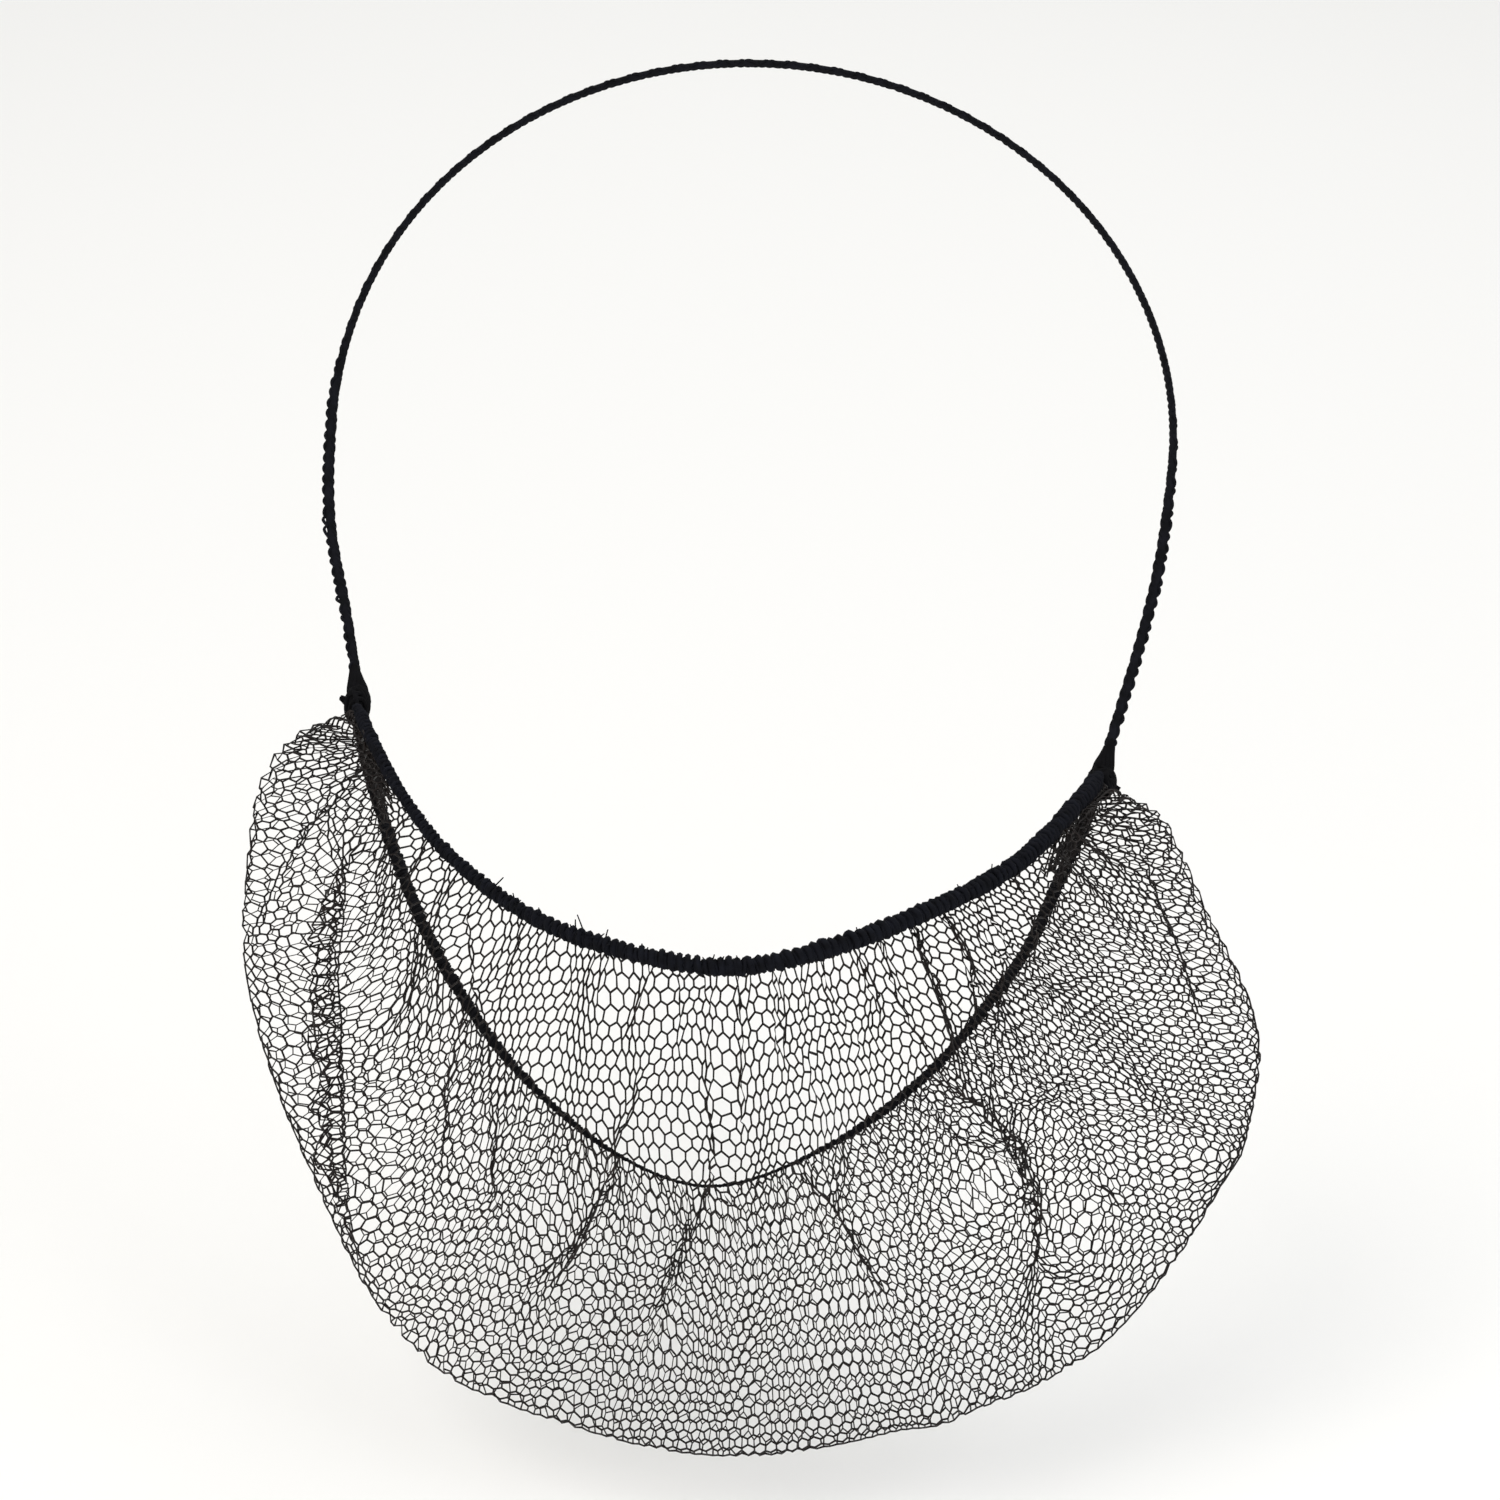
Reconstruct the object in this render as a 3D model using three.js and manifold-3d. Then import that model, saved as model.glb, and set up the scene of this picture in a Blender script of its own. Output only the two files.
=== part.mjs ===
// Beard net, as it is worn: a pouch of fine net gathered on two elastics, tied at both ears,
// with an elastic strap that goes up and round the back of the head.
// Millimetres, +Z up. The wearer faces -Y and +X is the wearer's left.
// The origin is midway between the two ear knots.
import * as THREE from "three";
import { mergeVertices } from "three/addons/utils/BufferGeometryUtils.js";
import Module from "manifold-3d";

const wasm = await Module();
wasm.setup();

// Driving dimensions
const netWall = 1.0;
const seamGap = 0.35;
const lipRadius = 1.5;
const jawRadius = 1.15;
const elasticSides = 8;
const elasticSteps = 52;
const elasticStations = 24;
const netColumns = 84;
const netRows = 22;

// Share of the cut that lies in front of the outer fold, how near the knots the net runs,
// and the stretch beside each knot where the net is drawn too tight to fold
const foldAt = 0.62;
const netEnd = 0.962;
const tightByKnot = 0.22;
// How far sideways, against forwards, the front layer bulges
const bulgeSideways = 0.5;

// Sections of the pouch, from the wearer's right ear (u = -1) to the left ear (u = 1).
// lip and jaw lie on the elastics' centre lines, fold is the pouch's outer edge,
// bulge pushes the front layer outwards and full rounds the outer fold.
const sections = [
  { u: -1.0, lip: [-69, 0, 5], fold: [-71, -1, 3.5], jaw: [-68.5, 0, 1.5], bulge: 0, full: 1.5 },
  { u: -0.93, lip: [-67, -9, 7.5], fold: [-80, -7.5, 1], jaw: [-67, -3.5, -2], bulge: 1.5, full: 3 },
  { u: -0.86, lip: [-64.5, -19, 9], fold: [-85.5, -14, -8.5], jaw: [-65, -8, -6], bulge: 3, full: 5 },
  { u: -0.7, lip: [-57, -40, 9], fold: [-85.5, -29, -36], jaw: [-58.5, -24, -14], bulge: 3, full: 7 },
  { u: -0.5, lip: [-46.5, -59, 7], fold: [-71.5, -43, -70], jaw: [-49, -40, -25], bulge: 4, full: 8 },
  { u: -0.3, lip: [-31, -77, 6], fold: [-50.5, -56, -99], jaw: [-34, -56, -37], bulge: 8, full: 9 },
  { u: -0.12, lip: [-14, -88, 6.5], fold: [-16, -65, -108], jaw: [-15.5, -66, -47], bulge: 11, full: 10 },
  { u: 0.03, lip: [3, -91, 6.5], fold: [12, -66, -110], jaw: [2, -70, -50], bulge: 12, full: 10 },
  { u: 0.2, lip: [20, -85.5, 8.5], fold: [44, -62, -103], jaw: [22, -64, -44], bulge: 11, full: 10 },
  { u: 0.36, lip: [36, -73, 9.5], fold: [72, -54, -93], jaw: [38, -53, -36], bulge: 8, full: 9 },
  { u: 0.55, lip: [49, -56.5, 8.5], fold: [93, -43, -65], jaw: [50, -42, -25], bulge: 4, full: 8 },
  { u: 0.7, lip: [56.5, -41, 7], fold: [100, -32, -38], jaw: [57, -33, -17], bulge: 3, full: 7 },
  { u: 0.86, lip: [64, -20, 4], fold: [87, -17.5, -14], jaw: [63.5, -19, -7], bulge: 3, full: 5 },
  { u: 0.93, lip: [66.8, -10, 1.5], fold: [80.5, -9, -4.5], jaw: [66.5, -9, -6], bulge: 1.5, full: 3 },
  { u: 1.0, lip: [69, 0, -1], fold: [71.5, -1, -3], jaw: [68.5, 0, -5], bulge: 0, full: 1.5 },
];

// Small gathers along each elastic: count from ear to ear, height, and how far they run into the net
const gathers = {
  lip: { count: 17, height: 1.9, reach: 20, sway: 0.3 },
  jaw: { count: 15, height: 1.7, reach: 15, sway: 0.4 },
};
// Distance over which a gather rises from the seam, its share of height there, and the pace of its sway
const gatherRise = 5;
const gatherAtSeam = 0.25;
const gatherSwayPace = 1.7;

// Long folds: a ridge along a straight line over the cut, from one place (u, v) to another.
// v runs from the lip elastic (0) over the outer fold to the jaw elastic (1).
const folds = [
  { fromU: -0.09, fromV: 0.02, toU: -0.21, toV: 0.5, width: 5, height: 2.6 },
  { fromU: 0.05, fromV: 0.02, toU: 0.0, toV: 0.45, width: 5, height: 2.6 },
  { fromU: 0.26, fromV: 0.02, toU: 0.44, toV: 0.5, width: 6, height: 3.4 },
  { fromU: 0.36, fromV: 0.2, toU: 0.33, toV: 0.6, width: 5, height: -3 },
  { fromU: 0.5, fromV: 0.2, toU: 0.62, toV: 0.6, width: 6, height: 3 },
  { fromU: 0.92, fromV: 0.25, toU: 0.62, toV: 0.42, width: 6, height: -3 },
  { fromU: -0.8, fromV: 0.05, toU: -0.36, toV: 0.5, width: 6, height: 3.4 },
  { fromU: -0.84, fromV: 0.15, toU: -0.74, toV: 0.58, width: 5, height: -2.6 },
  { fromU: -0.22, fromV: 0.25, toU: -0.34, toV: 0.6, width: 6, height: -3 },
  { fromU: 0.16, fromV: 0.28, toU: 0.22, toV: 0.6, width: 6, height: 2.6 },
  { fromU: -0.12, fromV: 0.98, toU: -0.16, toV: 0.64, width: 7, height: 3 },
  { fromU: 0.28, fromV: 0.98, toU: 0.3, toV: 0.64, width: 7, height: 3 },
  { fromU: -0.56, fromV: 0.98, toU: -0.52, toV: 0.66, width: 6, height: 2.6 },
  { fromU: 0.66, fromV: 0.98, toU: 0.62, toV: 0.66, width: 6, height: 2.6 },
];
// Shares of a fold's line over which it rises at its start and sinks at its end
const foldRise = [-0.05, 0.25];
const foldSink = [0.7, 1.1];
// Millimetres of cloth for one unit of u and of v, which turn a fold's line into a distance
const clothPerU = 195;
const clothPerV = 165;

// Head strap: its plane leans back, and each side runs up before the round of the head
const strap = {
  tilt: THREE.MathUtils.degToRad(45),
  shift: 1.8,
  halfWidth: 79.8,
  sideRun: 66,
  backRun: 76,
  settle: 45,
  bowAt: 42,
  bowReach: 20.5,
  width: 2.6,
  thickness: 1.7,
  steps: 84,
};
// The wearer's right side, then the left: half the span at the knot, how the side spreads from there, how far it bows
const strapSides = [
  { halfSpan: 68.4, spread: 1.25, bow: 2.5 },
  { halfSpan: 69.5, spread: 1.6, bow: 0 },
];
// Where the strap's flat face turns as it twists: share of its length, and degrees of turn
const strapTurns = [
  { at: 0.0, turn: -55 },
  { at: 0.04, turn: -50 },
  { at: 0.075, turn: -80 },
  { at: 0.1, turn: -60 },
  { at: 0.125, turn: -90 },
  { at: 0.165, turn: -60 },
  { at: 0.22, turn: -12 },
  { at: 0.5, turn: 0 },
  { at: 0.78, turn: 0 },
  { at: 0.85, turn: -45 },
  { at: 0.89, turn: -85 },
  { at: 0.925, turn: -80 },
  { at: 0.955, turn: -75 },
  { at: 1.0, turn: -65 },
];

// Ear knots: a gathered spindle where strap and elastics meet, with a short pointed end of yarn
const knots = [
  {
    name: "ear_knot_right",
    centre: [-68.8, 2.2, 4.2],
    radii: [2.3, 4.6, 3.6],
    tail: { to: [-3.2, 0.4, 1.0], foot: 1.6, tip: 0.5 },
  },
  {
    name: "ear_knot_left",
    centre: [69.9, 2.4, -3.3],
    radii: [2.6, 4.0, 3.1],
    tail: { to: [3.3, -0.6, -1.1], foot: 1.7, tip: 0.7 },
  },
];
const knotLumps = 0.09;
const knotWinds = 3;
const knotPitch = 5;
const knotSides = 16;
const knotRings = 9;

// Steps for slopes and for finding where a path leaves a knot, and the gap under which corners are one
const normalStep = 1e-3;
const searchStep = 5e-4;
const weldGap = 1e-3;

const vec = (a) => new THREE.Vector3(a[0], a[1], a[2]);
const smooth = (a, b, x) => THREE.MathUtils.smoothstep(x, a, b);

// Cubic curve through the rows of a table, with slopes taken from the neighbouring rows
function along(rows, key, column, at) {
  const last = rows.length - 1;
  let i = 0;
  while (i < last - 1 && at > rows[i + 1][key]) i += 1;
  const value = (k) => column(rows[k]);
  const slope = (k) => {
    const a = Math.max(k - 1, 0);
    const b = Math.min(k + 1, last);
    return (value(b) - value(a)) / (rows[b][key] - rows[a][key]);
  };
  const span = rows[i + 1][key] - rows[i][key];
  const t = (at - rows[i][key]) / span;
  const s = 1 - t;
  return (
    value(i) * s * s * (1 + 2 * t) +
    value(i + 1) * t * t * (1 + 2 * s) +
    span * (slope(i) * t * s * s - slope(i + 1) * s * t * t)
  );
}

function sectionPoint(name, u) {
  return vec([0, 1, 2].map((axis) => along(sections, "u", (row) => row[name][axis], u)));
}

function bezier(points, t) {
  const s = 1 - t;
  const weights = [s * s * s, 3 * s * s * t, 3 * s * t * t, t * t * t];
  const at = new THREE.Vector3();
  points.forEach((p, i) => at.addScaledVector(p, weights[i]));
  return at;
}

// The pouch without gathers: from the lip elastic down the front, round the outer fold, up to the jaw elastic
function pouchBase(u, v) {
  const lip = sectionPoint("lip", u);
  const fold = sectionPoint("fold", u);
  const jaw = sectionPoint("jaw", u);
  const bulge = along(sections, "u", (row) => row.bulge, u);
  const full = along(sections, "u", (row) => row.full, u);
  const front = fold.clone().sub(lip);
  const rear = jaw.clone().sub(fold);
  if (v <= foldAt) {
    const from = (lipRadius + seamGap) / front.length();
    const t = from + ((1 - from) * v) / foldAt;
    const outwards = vec([lip.x * bulgeSideways, lip.y, 0]).normalize();
    const second = lip.clone().addScaledVector(front, 1 / 3).addScaledVector(outwards, bulge);
    const third = fold.clone().add(vec([0, -full, 0]));
    return bezier([lip, second, third, fold], t);
  }
  const to = 1 - (jawRadius + seamGap) / rear.length();
  const t = (to * (v - foldAt)) / (1 - foldAt);
  const second = fold.clone().add(vec([0, full, 0]));
  const third = jaw.clone().addScaledVector(rear, -1 / 3);
  return bezier([fold, second, third, jaw], t);
}

// Ripple of the gathers of one elastic at a distance from it, fading out into the net
function ripple(gather, u, distance) {
  const turns = (gather.count * (u + 1)) / 2;
  const wave = Math.cos(2 * Math.PI * (turns + gather.sway * Math.sin(turns * gatherSwayPace)));
  const rise = gatherAtSeam + (1 - gatherAtSeam) * smooth(0, gatherRise, distance);
  return gather.height * wave * rise * Math.exp(-distance / gather.reach);
}

// Height of one long fold at a place on the cut: round across its line, tapering towards both ends
function ridge(row, u, v) {
  const alongU = (row.toU - row.fromU) * clothPerU;
  const alongV = (row.toV - row.fromV) * clothPerV;
  const atU = (u - row.fromU) * clothPerU;
  const atV = (v - row.fromV) * clothPerV;
  const length = Math.hypot(alongU, alongV);
  const share = (atU * alongU + atV * alongV) / (length * length);
  const across = (atU * alongV - atV * alongU) / length;
  const taper = smooth(...foldRise, share) * (1 - smooth(...foldSink, share));
  return row.height * taper * Math.exp(-((across / row.width) ** 2));
}

function pouchRelief(u, v) {
  const fromLip = v * clothPerV;
  const fromJaw = (1 - v) * clothPerV;
  const nearKnot = smooth(0, tightByKnot, netEnd - Math.abs(u));
  let height = ripple(gathers.lip, u, fromLip) + ripple(gathers.jaw, u, fromJaw);
  folds.forEach((row) => {
    height += ridge(row, u, v);
  });
  return height * nearKnot;
}

// Unit normal of a surface, from the differences between its neighbouring points
function normalOf(surface, u, v) {
  const alongU = surface(u + normalStep, v).sub(surface(u - normalStep, v));
  const alongV = surface(u, v + normalStep).sub(surface(u, v - normalStep));
  return alongV.cross(alongU).normalize();
}

function pouchSurface(u, v) {
  return pouchBase(u, v).addScaledVector(normalOf(pouchBase, u, v), pouchRelief(u, v));
}

// A closed geometry from vertices and triangles
function solidFrom(points, triangles) {
  const geometry = new THREE.BufferGeometry();
  geometry.setAttribute("position", new THREE.Float32BufferAttribute(points.flatMap((p) => p.toArray()), 3));
  geometry.setIndex(triangles);
  geometry.computeVertexNormals();
  return geometry;
}

// A wall of even thickness on both sides of a surface, closed along its four rims
function wallOn(surface, uRange, columns, rows, thickness) {
  const points = [];
  for (const side of [1, -1]) {
    for (let i = 0; i <= columns; i += 1) {
      for (let j = 0; j <= rows; j += 1) {
        const u = THREE.MathUtils.lerp(uRange[0], uRange[1], i / columns);
        const v = j / rows;
        const at = surface(u, v);
        points.push(at.addScaledVector(normalOf(surface, u, v), (side * thickness) / 2));
      }
    }
  }
  const perSide = (columns + 1) * (rows + 1);
  const index = (side, i, j) => side * perSide + i * (rows + 1) + j;
  const triangles = [];
  const quad = (a, b, c, d) => triangles.push(a, b, c, a, c, d);
  for (let i = 0; i < columns; i += 1) {
    for (let j = 0; j < rows; j += 1) {
      quad(index(0, i, j), index(0, i, j + 1), index(0, i + 1, j + 1), index(0, i + 1, j));
      quad(index(1, i, j), index(1, i + 1, j), index(1, i + 1, j + 1), index(1, i, j + 1));
    }
    quad(index(0, i, 0), index(0, i + 1, 0), index(1, i + 1, 0), index(1, i, 0));
    quad(index(0, i, rows), index(1, i, rows), index(1, i + 1, rows), index(0, i + 1, rows));
  }
  for (let j = 0; j < rows; j += 1) {
    quad(index(0, 0, j), index(1, 0, j), index(1, 0, j + 1), index(0, 0, j + 1));
    quad(index(0, columns, j), index(0, columns, j + 1), index(1, columns, j + 1), index(1, columns, j));
  }
  return solidFrom(points, triangles);
}

// Path of an elastic along the net's edge, stopping just short of each knot
function elasticPath(name) {
  const stops = [-1, 1].map((end) => {
    const knot = knots[end < 0 ? 0 : 1];
    let u = end;
    while (clearOfKnot(knot, sectionPoint(name, u)) < 1) u -= end * searchStep;
    return u;
  });
  const points = [];
  for (let i = 0; i <= elasticStations; i += 1) {
    points.push(sectionPoint(name, THREE.MathUtils.lerp(stops[0], stops[1], i / elasticStations)));
  }
  return new THREE.CatmullRomCurve3(points);
}

// Below 1 inside the knot, 1 at the seam gap from it, more outside
function clearOfKnot(knot, at) {
  const margin = 1 + knotLumps;
  const shares = [0, 1, 2].map((axis) => {
    const away = at.getComponent(axis) - knot.centre[axis];
    return away / (knot.radii[axis] * margin + seamGap);
  });
  return Math.hypot(...shares);
}

function elasticCord(name, radius) {
  const section = new THREE.Shape();
  section.absarc(0, 0, radius, 0, 2 * Math.PI);
  return new THREE.ExtrudeGeometry(section, {
    steps: elasticSteps,
    curveSegments: elasticSides / 2,
    extrudePath: elasticPath(name),
  });
}

// Strap's centre line at a share of its length: up one side, round the head, down the other side.
// Its ends settle from the strap's plane onto the knots.
function strapPoint(share) {
  const round = (Math.PI / 2) * (strap.halfWidth + strap.backRun);
  const whole = 2 * strap.sideRun + round;
  const run = share * whole;
  const end = run < whole / 2 ? 0 : 1;
  const fromEnd = end ? whole - run : run;
  const side = strapSides[end];
  let across = 0;
  let up = 0;
  if (fromEnd < strap.sideRun) {
    const inwards = (1 - fromEnd / strap.sideRun) ** side.spread;
    across = strap.halfWidth - (strap.halfWidth - side.halfSpan) * inwards;
    up = fromEnd;
  } else {
    const angle = ((fromEnd - strap.sideRun) / round) * Math.PI;
    across = strap.halfWidth * Math.cos(angle);
    up = strap.sideRun + strap.backRun * Math.sin(angle);
  }
  across += side.bow * Math.exp(-(((fromEnd - strap.bowAt) / strap.bowReach) ** 2));
  const settled = 1 - smooth(0, strap.settle, fromEnd);
  const knot = knots[end].centre;
  return vec([
    (end ? across : -across) + strap.shift * (1 - settled),
    up * Math.cos(strap.tilt) + knot[1] * settled,
    up * Math.sin(strap.tilt) + knot[2] * settled,
  ]);
}

// Flat elastic with round edges: rings of points square to the path, turned as the strap twists
function strapBand() {
  const ends = [0, 1].map((end) => {
    let share = end;
    while (clearOfKnot(knots[end], strapPoint(share)) < 1) share += end ? -searchStep : searchStep;
    return share;
  });
  const rings = [];
  const plane = vec([0, -Math.sin(strap.tilt), Math.cos(strap.tilt)]);
  for (let i = 0; i <= strap.steps; i += 1) {
    const share = THREE.MathUtils.lerp(ends[0], ends[1], i / strap.steps);
    const at = strapPoint(share);
    const tangent = strapPoint(share + normalStep).sub(strapPoint(share - normalStep)).normalize();
    const outwards = plane.clone().cross(tangent).negate().normalize();
    const turn = THREE.MathUtils.degToRad(along(strapTurns, "at", (row) => row.turn, share));
    const flat = plane.clone().applyAxisAngle(tangent, turn);
    const thick = outwards.applyAxisAngle(tangent, turn);
    rings.push({ at, flat, thick });
  }
  const points = [];
  rings.forEach(({ at, flat, thick }) => {
    for (let k = 0; k < elasticSides; k += 1) {
      const angle = (2 * Math.PI * (k + 0.5)) / elasticSides;
      const corner = at.clone().addScaledVector(flat, (Math.cos(angle) * strap.width) / 2);
      points.push(corner.addScaledVector(thick, (Math.sin(angle) * strap.thickness) / 2));
    }
  });
  return tubeOfRings(points, rings.length, elasticSides);
}

// A closed tube through rings that have the same number of points
function tubeOfRings(points, ringCount, sides) {
  const triangles = [];
  for (let i = 0; i < ringCount - 1; i += 1) {
    for (let k = 0; k < sides; k += 1) {
      const a = i * sides + k;
      const b = i * sides + ((k + 1) % sides);
      triangles.push(a, b, b + sides, a, b + sides, a + sides);
    }
  }
  const last = (ringCount - 1) * sides;
  for (let k = 1; k < sides - 1; k += 1) {
    triangles.push(0, k + 1, k, last, last + k, last + k + 1);
  }
  return solidFrom(points, triangles);
}

function manifoldOf(geometry) {
  const bare = geometry.index ? geometry.toNonIndexed() : geometry.clone();
  bare.deleteAttribute("normal");
  bare.deleteAttribute("uv");
  const merged = mergeVertices(bare, weldGap);
  return new wasm.Manifold(
    new wasm.Mesh({
      numProp: 3,
      vertProperties: merged.attributes.position.array,
      triVerts: new Uint32Array(merged.index.array),
    }),
  );
}

function geometryOf(solid) {
  const mesh = solid.getMesh();
  const geometry = new THREE.BufferGeometry();
  geometry.setAttribute("position", new THREE.BufferAttribute(mesh.vertProperties, 3));
  geometry.setIndex(new THREE.BufferAttribute(mesh.triVerts, 1));
  geometry.computeVertexNormals();
  return geometry;
}

// A knot: a lump with wound swellings, joined to its short tapering end
function knotSolid(knot) {
  const lump = new THREE.SphereGeometry(1, knotSides, knotRings);
  const place = lump.getAttribute("position");
  const at = new THREE.Vector3();
  for (let i = 0; i < place.count; i += 1) {
    at.fromBufferAttribute(place, i);
    const winding = 1 + knotLumps * Math.sin(knotWinds * Math.atan2(at.z, at.x) + knotPitch * at.y);
    const swell = 1 + (winding - 1) * Math.hypot(at.x, at.z);
    place.setXYZ(i, at.x * swell * knot.radii[0], at.y * swell * knot.radii[1], at.z * swell * knot.radii[2]);
  }
  const { to, foot, tip } = knot.tail;
  const end = vec(to);
  const tail = new THREE.CylinderGeometry(tip, foot, end.length(), elasticSides);
  tail.translate(0, end.length() / 2, 0);
  tail.applyQuaternion(new THREE.Quaternion().setFromUnitVectors(vec([0, 1, 0]), end.clone().normalize()));
  const joined = manifoldOf(lump).add(manifoldOf(tail));
  return geometryOf(joined).translate(...knot.centre);
}

// Materials
const blackNet = new THREE.MeshStandardMaterial({ color: 0x1d1716, roughness: 0.6, metalness: 0 });
const lipKnit = new THREE.MeshStandardMaterial({ color: 0x11131a, roughness: 0.8, metalness: 0 });
const jawKnit = new THREE.MeshStandardMaterial({ color: 0x131318, roughness: 0.8, metalness: 0 });
const strapKnit = new THREE.MeshStandardMaterial({ color: 0x14151b, roughness: 0.8, metalness: 0 });
const knotYarn = new THREE.MeshStandardMaterial({ color: 0x0f0f13, roughness: 0.85, metalness: 0 });

// The assembly
const beardNet = new THREE.Group();
function addPiece(name, geometry, material) {
  const mesh = new THREE.Mesh(geometry, material.clone());
  mesh.name = name;
  beardNet.add(mesh);
}
addPiece("net_pouch", wallOn(pouchSurface, [-netEnd, netEnd], netColumns, netRows, netWall), blackNet);
addPiece("lip_elastic", elasticCord("lip", lipRadius), lipKnit);
addPiece("jaw_elastic", elasticCord("jaw", jawRadius), jawKnit);
addPiece("head_strap", strapBand(), strapKnit);
knots.forEach((knot) => addPiece(knot.name, knotSolid(knot), knotYarn));

export default beardNet;
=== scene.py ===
# Beard net in the form that it has when worn: a pouch of hexagonal net on two knitted elastics, tied in a
# knot at either end, with a knitted elastic strap that runs up and round the back from knot to knot.
# Shapes are worked out in millimetres in the frame's axes and put into the meshes in metres.
import bpy
import numpy as np
from mathutils import Matrix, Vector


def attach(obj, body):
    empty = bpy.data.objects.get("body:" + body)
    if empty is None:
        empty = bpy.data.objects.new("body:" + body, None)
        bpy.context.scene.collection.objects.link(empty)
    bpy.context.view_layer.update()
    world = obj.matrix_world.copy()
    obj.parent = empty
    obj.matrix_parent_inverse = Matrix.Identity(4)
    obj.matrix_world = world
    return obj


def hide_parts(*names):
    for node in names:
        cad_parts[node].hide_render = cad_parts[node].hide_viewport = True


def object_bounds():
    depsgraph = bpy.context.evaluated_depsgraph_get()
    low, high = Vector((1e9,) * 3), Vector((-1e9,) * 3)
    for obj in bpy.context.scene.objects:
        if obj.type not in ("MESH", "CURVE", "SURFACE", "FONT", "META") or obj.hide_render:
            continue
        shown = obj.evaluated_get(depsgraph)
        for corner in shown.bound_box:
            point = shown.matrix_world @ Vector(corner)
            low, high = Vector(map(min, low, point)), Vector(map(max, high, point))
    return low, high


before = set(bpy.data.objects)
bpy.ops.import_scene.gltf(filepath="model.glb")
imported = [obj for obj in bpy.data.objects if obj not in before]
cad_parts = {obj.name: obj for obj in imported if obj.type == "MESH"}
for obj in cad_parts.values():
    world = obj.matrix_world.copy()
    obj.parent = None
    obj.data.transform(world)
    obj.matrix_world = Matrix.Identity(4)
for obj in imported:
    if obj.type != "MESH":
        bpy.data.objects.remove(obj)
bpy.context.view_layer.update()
print("frame loaded:", ", ".join(sorted(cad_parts)))

millimetre = 0.001  # in metres


# Shared sums on whole arrays

def smoothStep(low, high, x):
    # 0 below low, 1 above high, an S curve between
    t = np.clip((x - low) / (high - low), 0, 1)
    return t * t * (3 - 2 * t)


def between(grows, fades, x):
    # grows from 0 to 1 over one pair of limits and fades again over the other
    return smoothStep(*grows, x) * (1 - smoothStep(*fades, x))


def unit(a):
    return a / np.maximum(np.linalg.norm(a, axis=-1, keepdims=True), 1e-9)


def dot(a, b):
    return (a * b).sum(-1, keepdims=True)


def throughRows(keys, rows, at):
    # cubic curve through the rows of a table, with slopes taken from the neighbouring rows
    keys, rows, at = np.asarray(keys, float), np.asarray(rows, float), np.asarray(at, float)
    place = np.arange(len(keys))
    before, after = np.maximum(place - 1, 0), np.minimum(place + 1, len(keys) - 1)
    slopes = (rows[after] - rows[before]) / (keys[after] - keys[before])[:, None]
    i = np.clip(np.searchsorted(keys, at, side="right") - 1, 0, len(keys) - 2)
    span = (keys[i + 1] - keys[i])[..., None]
    t = (at - keys[i])[..., None] / span
    s = 1 - t
    ends = rows[i] * s * s * (1 + 2 * t) + rows[i + 1] * t * t * (1 + 2 * s)
    return ends + span * (slopes[i] * t * s * s - slopes[i + 1] * s * t * t)


def wander(x, y, wavelength, seed, waves=7):
    # smooth unevenness between about -1 and 1: the mean of sine waves in random directions
    draw = np.random.default_rng(seed)
    angle = draw.uniform(0, 2 * np.pi, waves)
    pace = 2 * np.pi / wavelength * draw.uniform(0.7, 1.4, waves)
    phase = draw.uniform(0, 2 * np.pi, waves)
    x, y = np.asarray(x, float)[..., None], np.asarray(y, float)[..., None]
    return 1.8 * np.sin(pace * (x * np.cos(angle) + y * np.sin(angle)) + phase).mean(-1)


def wanderAlong(run, wavelength, seed):
    # the same unevenness along a line
    return wander(run, run * 0, wavelength, seed)


def roundAngles(count):
    return np.arange(count) / count * 2 * np.pi


def evenPath(points, count):
    # the same line with its points at even distances
    steps = np.linalg.norm(np.diff(points, axis=0), axis=1)
    run = np.concatenate([[0], np.cumsum(steps)])
    at = np.linspace(0, run[-1], count)
    line = np.stack([np.interp(at, run, points[:, axis]) for axis in range(3)], -1)
    return line, at


def yarnTubes(paths, away, radius, sides=6, closed=False):
    # a round section carried along each path, its first corner turned towards away
    before, after = np.roll(paths, 1, axis=1), np.roll(paths, -1, axis=1)
    along = unit(after - before if closed else np.gradient(paths, axis=1))
    first = unit(away - along * dot(away, along))
    second = np.cross(along, first)
    angle = 2 * np.pi * np.arange(sides) / sides
    ring = first[:, :, None] * np.cos(angle)[:, None] + second[:, :, None] * np.sin(angle)[:, None]
    thick = np.broadcast_to(radius, paths.shape[:2])[:, :, None, None]
    points = paths[:, :, None] + ring * thick
    index = np.arange(points.size // 3).reshape(points.shape[:3])
    turned = np.roll(index, -1, axis=2)
    ahead, turnedAhead = np.roll(index, -1, axis=1), np.roll(turned, -1, axis=1)
    faces = np.stack([index, turned, turnedAhead, ahead], -1)
    if closed:
        return points.reshape(-1, 3), faces.reshape(-1, 4)
    parts = [faces[:, :-1].reshape(-1, 4)]
    for k in range(1, sides - 1, 2):
        parts.append(index[:, 0][:, [0, k + 2, k + 1, k]])
        parts.append(index[:, -1][:, [0, k, k + 1, k + 2]])
    return points.reshape(-1, 3), np.concatenate(parts)


def joined(parts):
    # several lots of points and faces as one
    starts = np.cumsum([0] + [len(points) for points, quads in parts])
    return (
        np.concatenate([points for points, quads in parts]),
        np.concatenate([quads + start for (points, quads), start in zip(parts, starts)]),
    )


def addObject(name, data):
    added = bpy.data.objects.new(name, data)
    bpy.context.scene.collection.objects.link(added)
    return added


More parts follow.
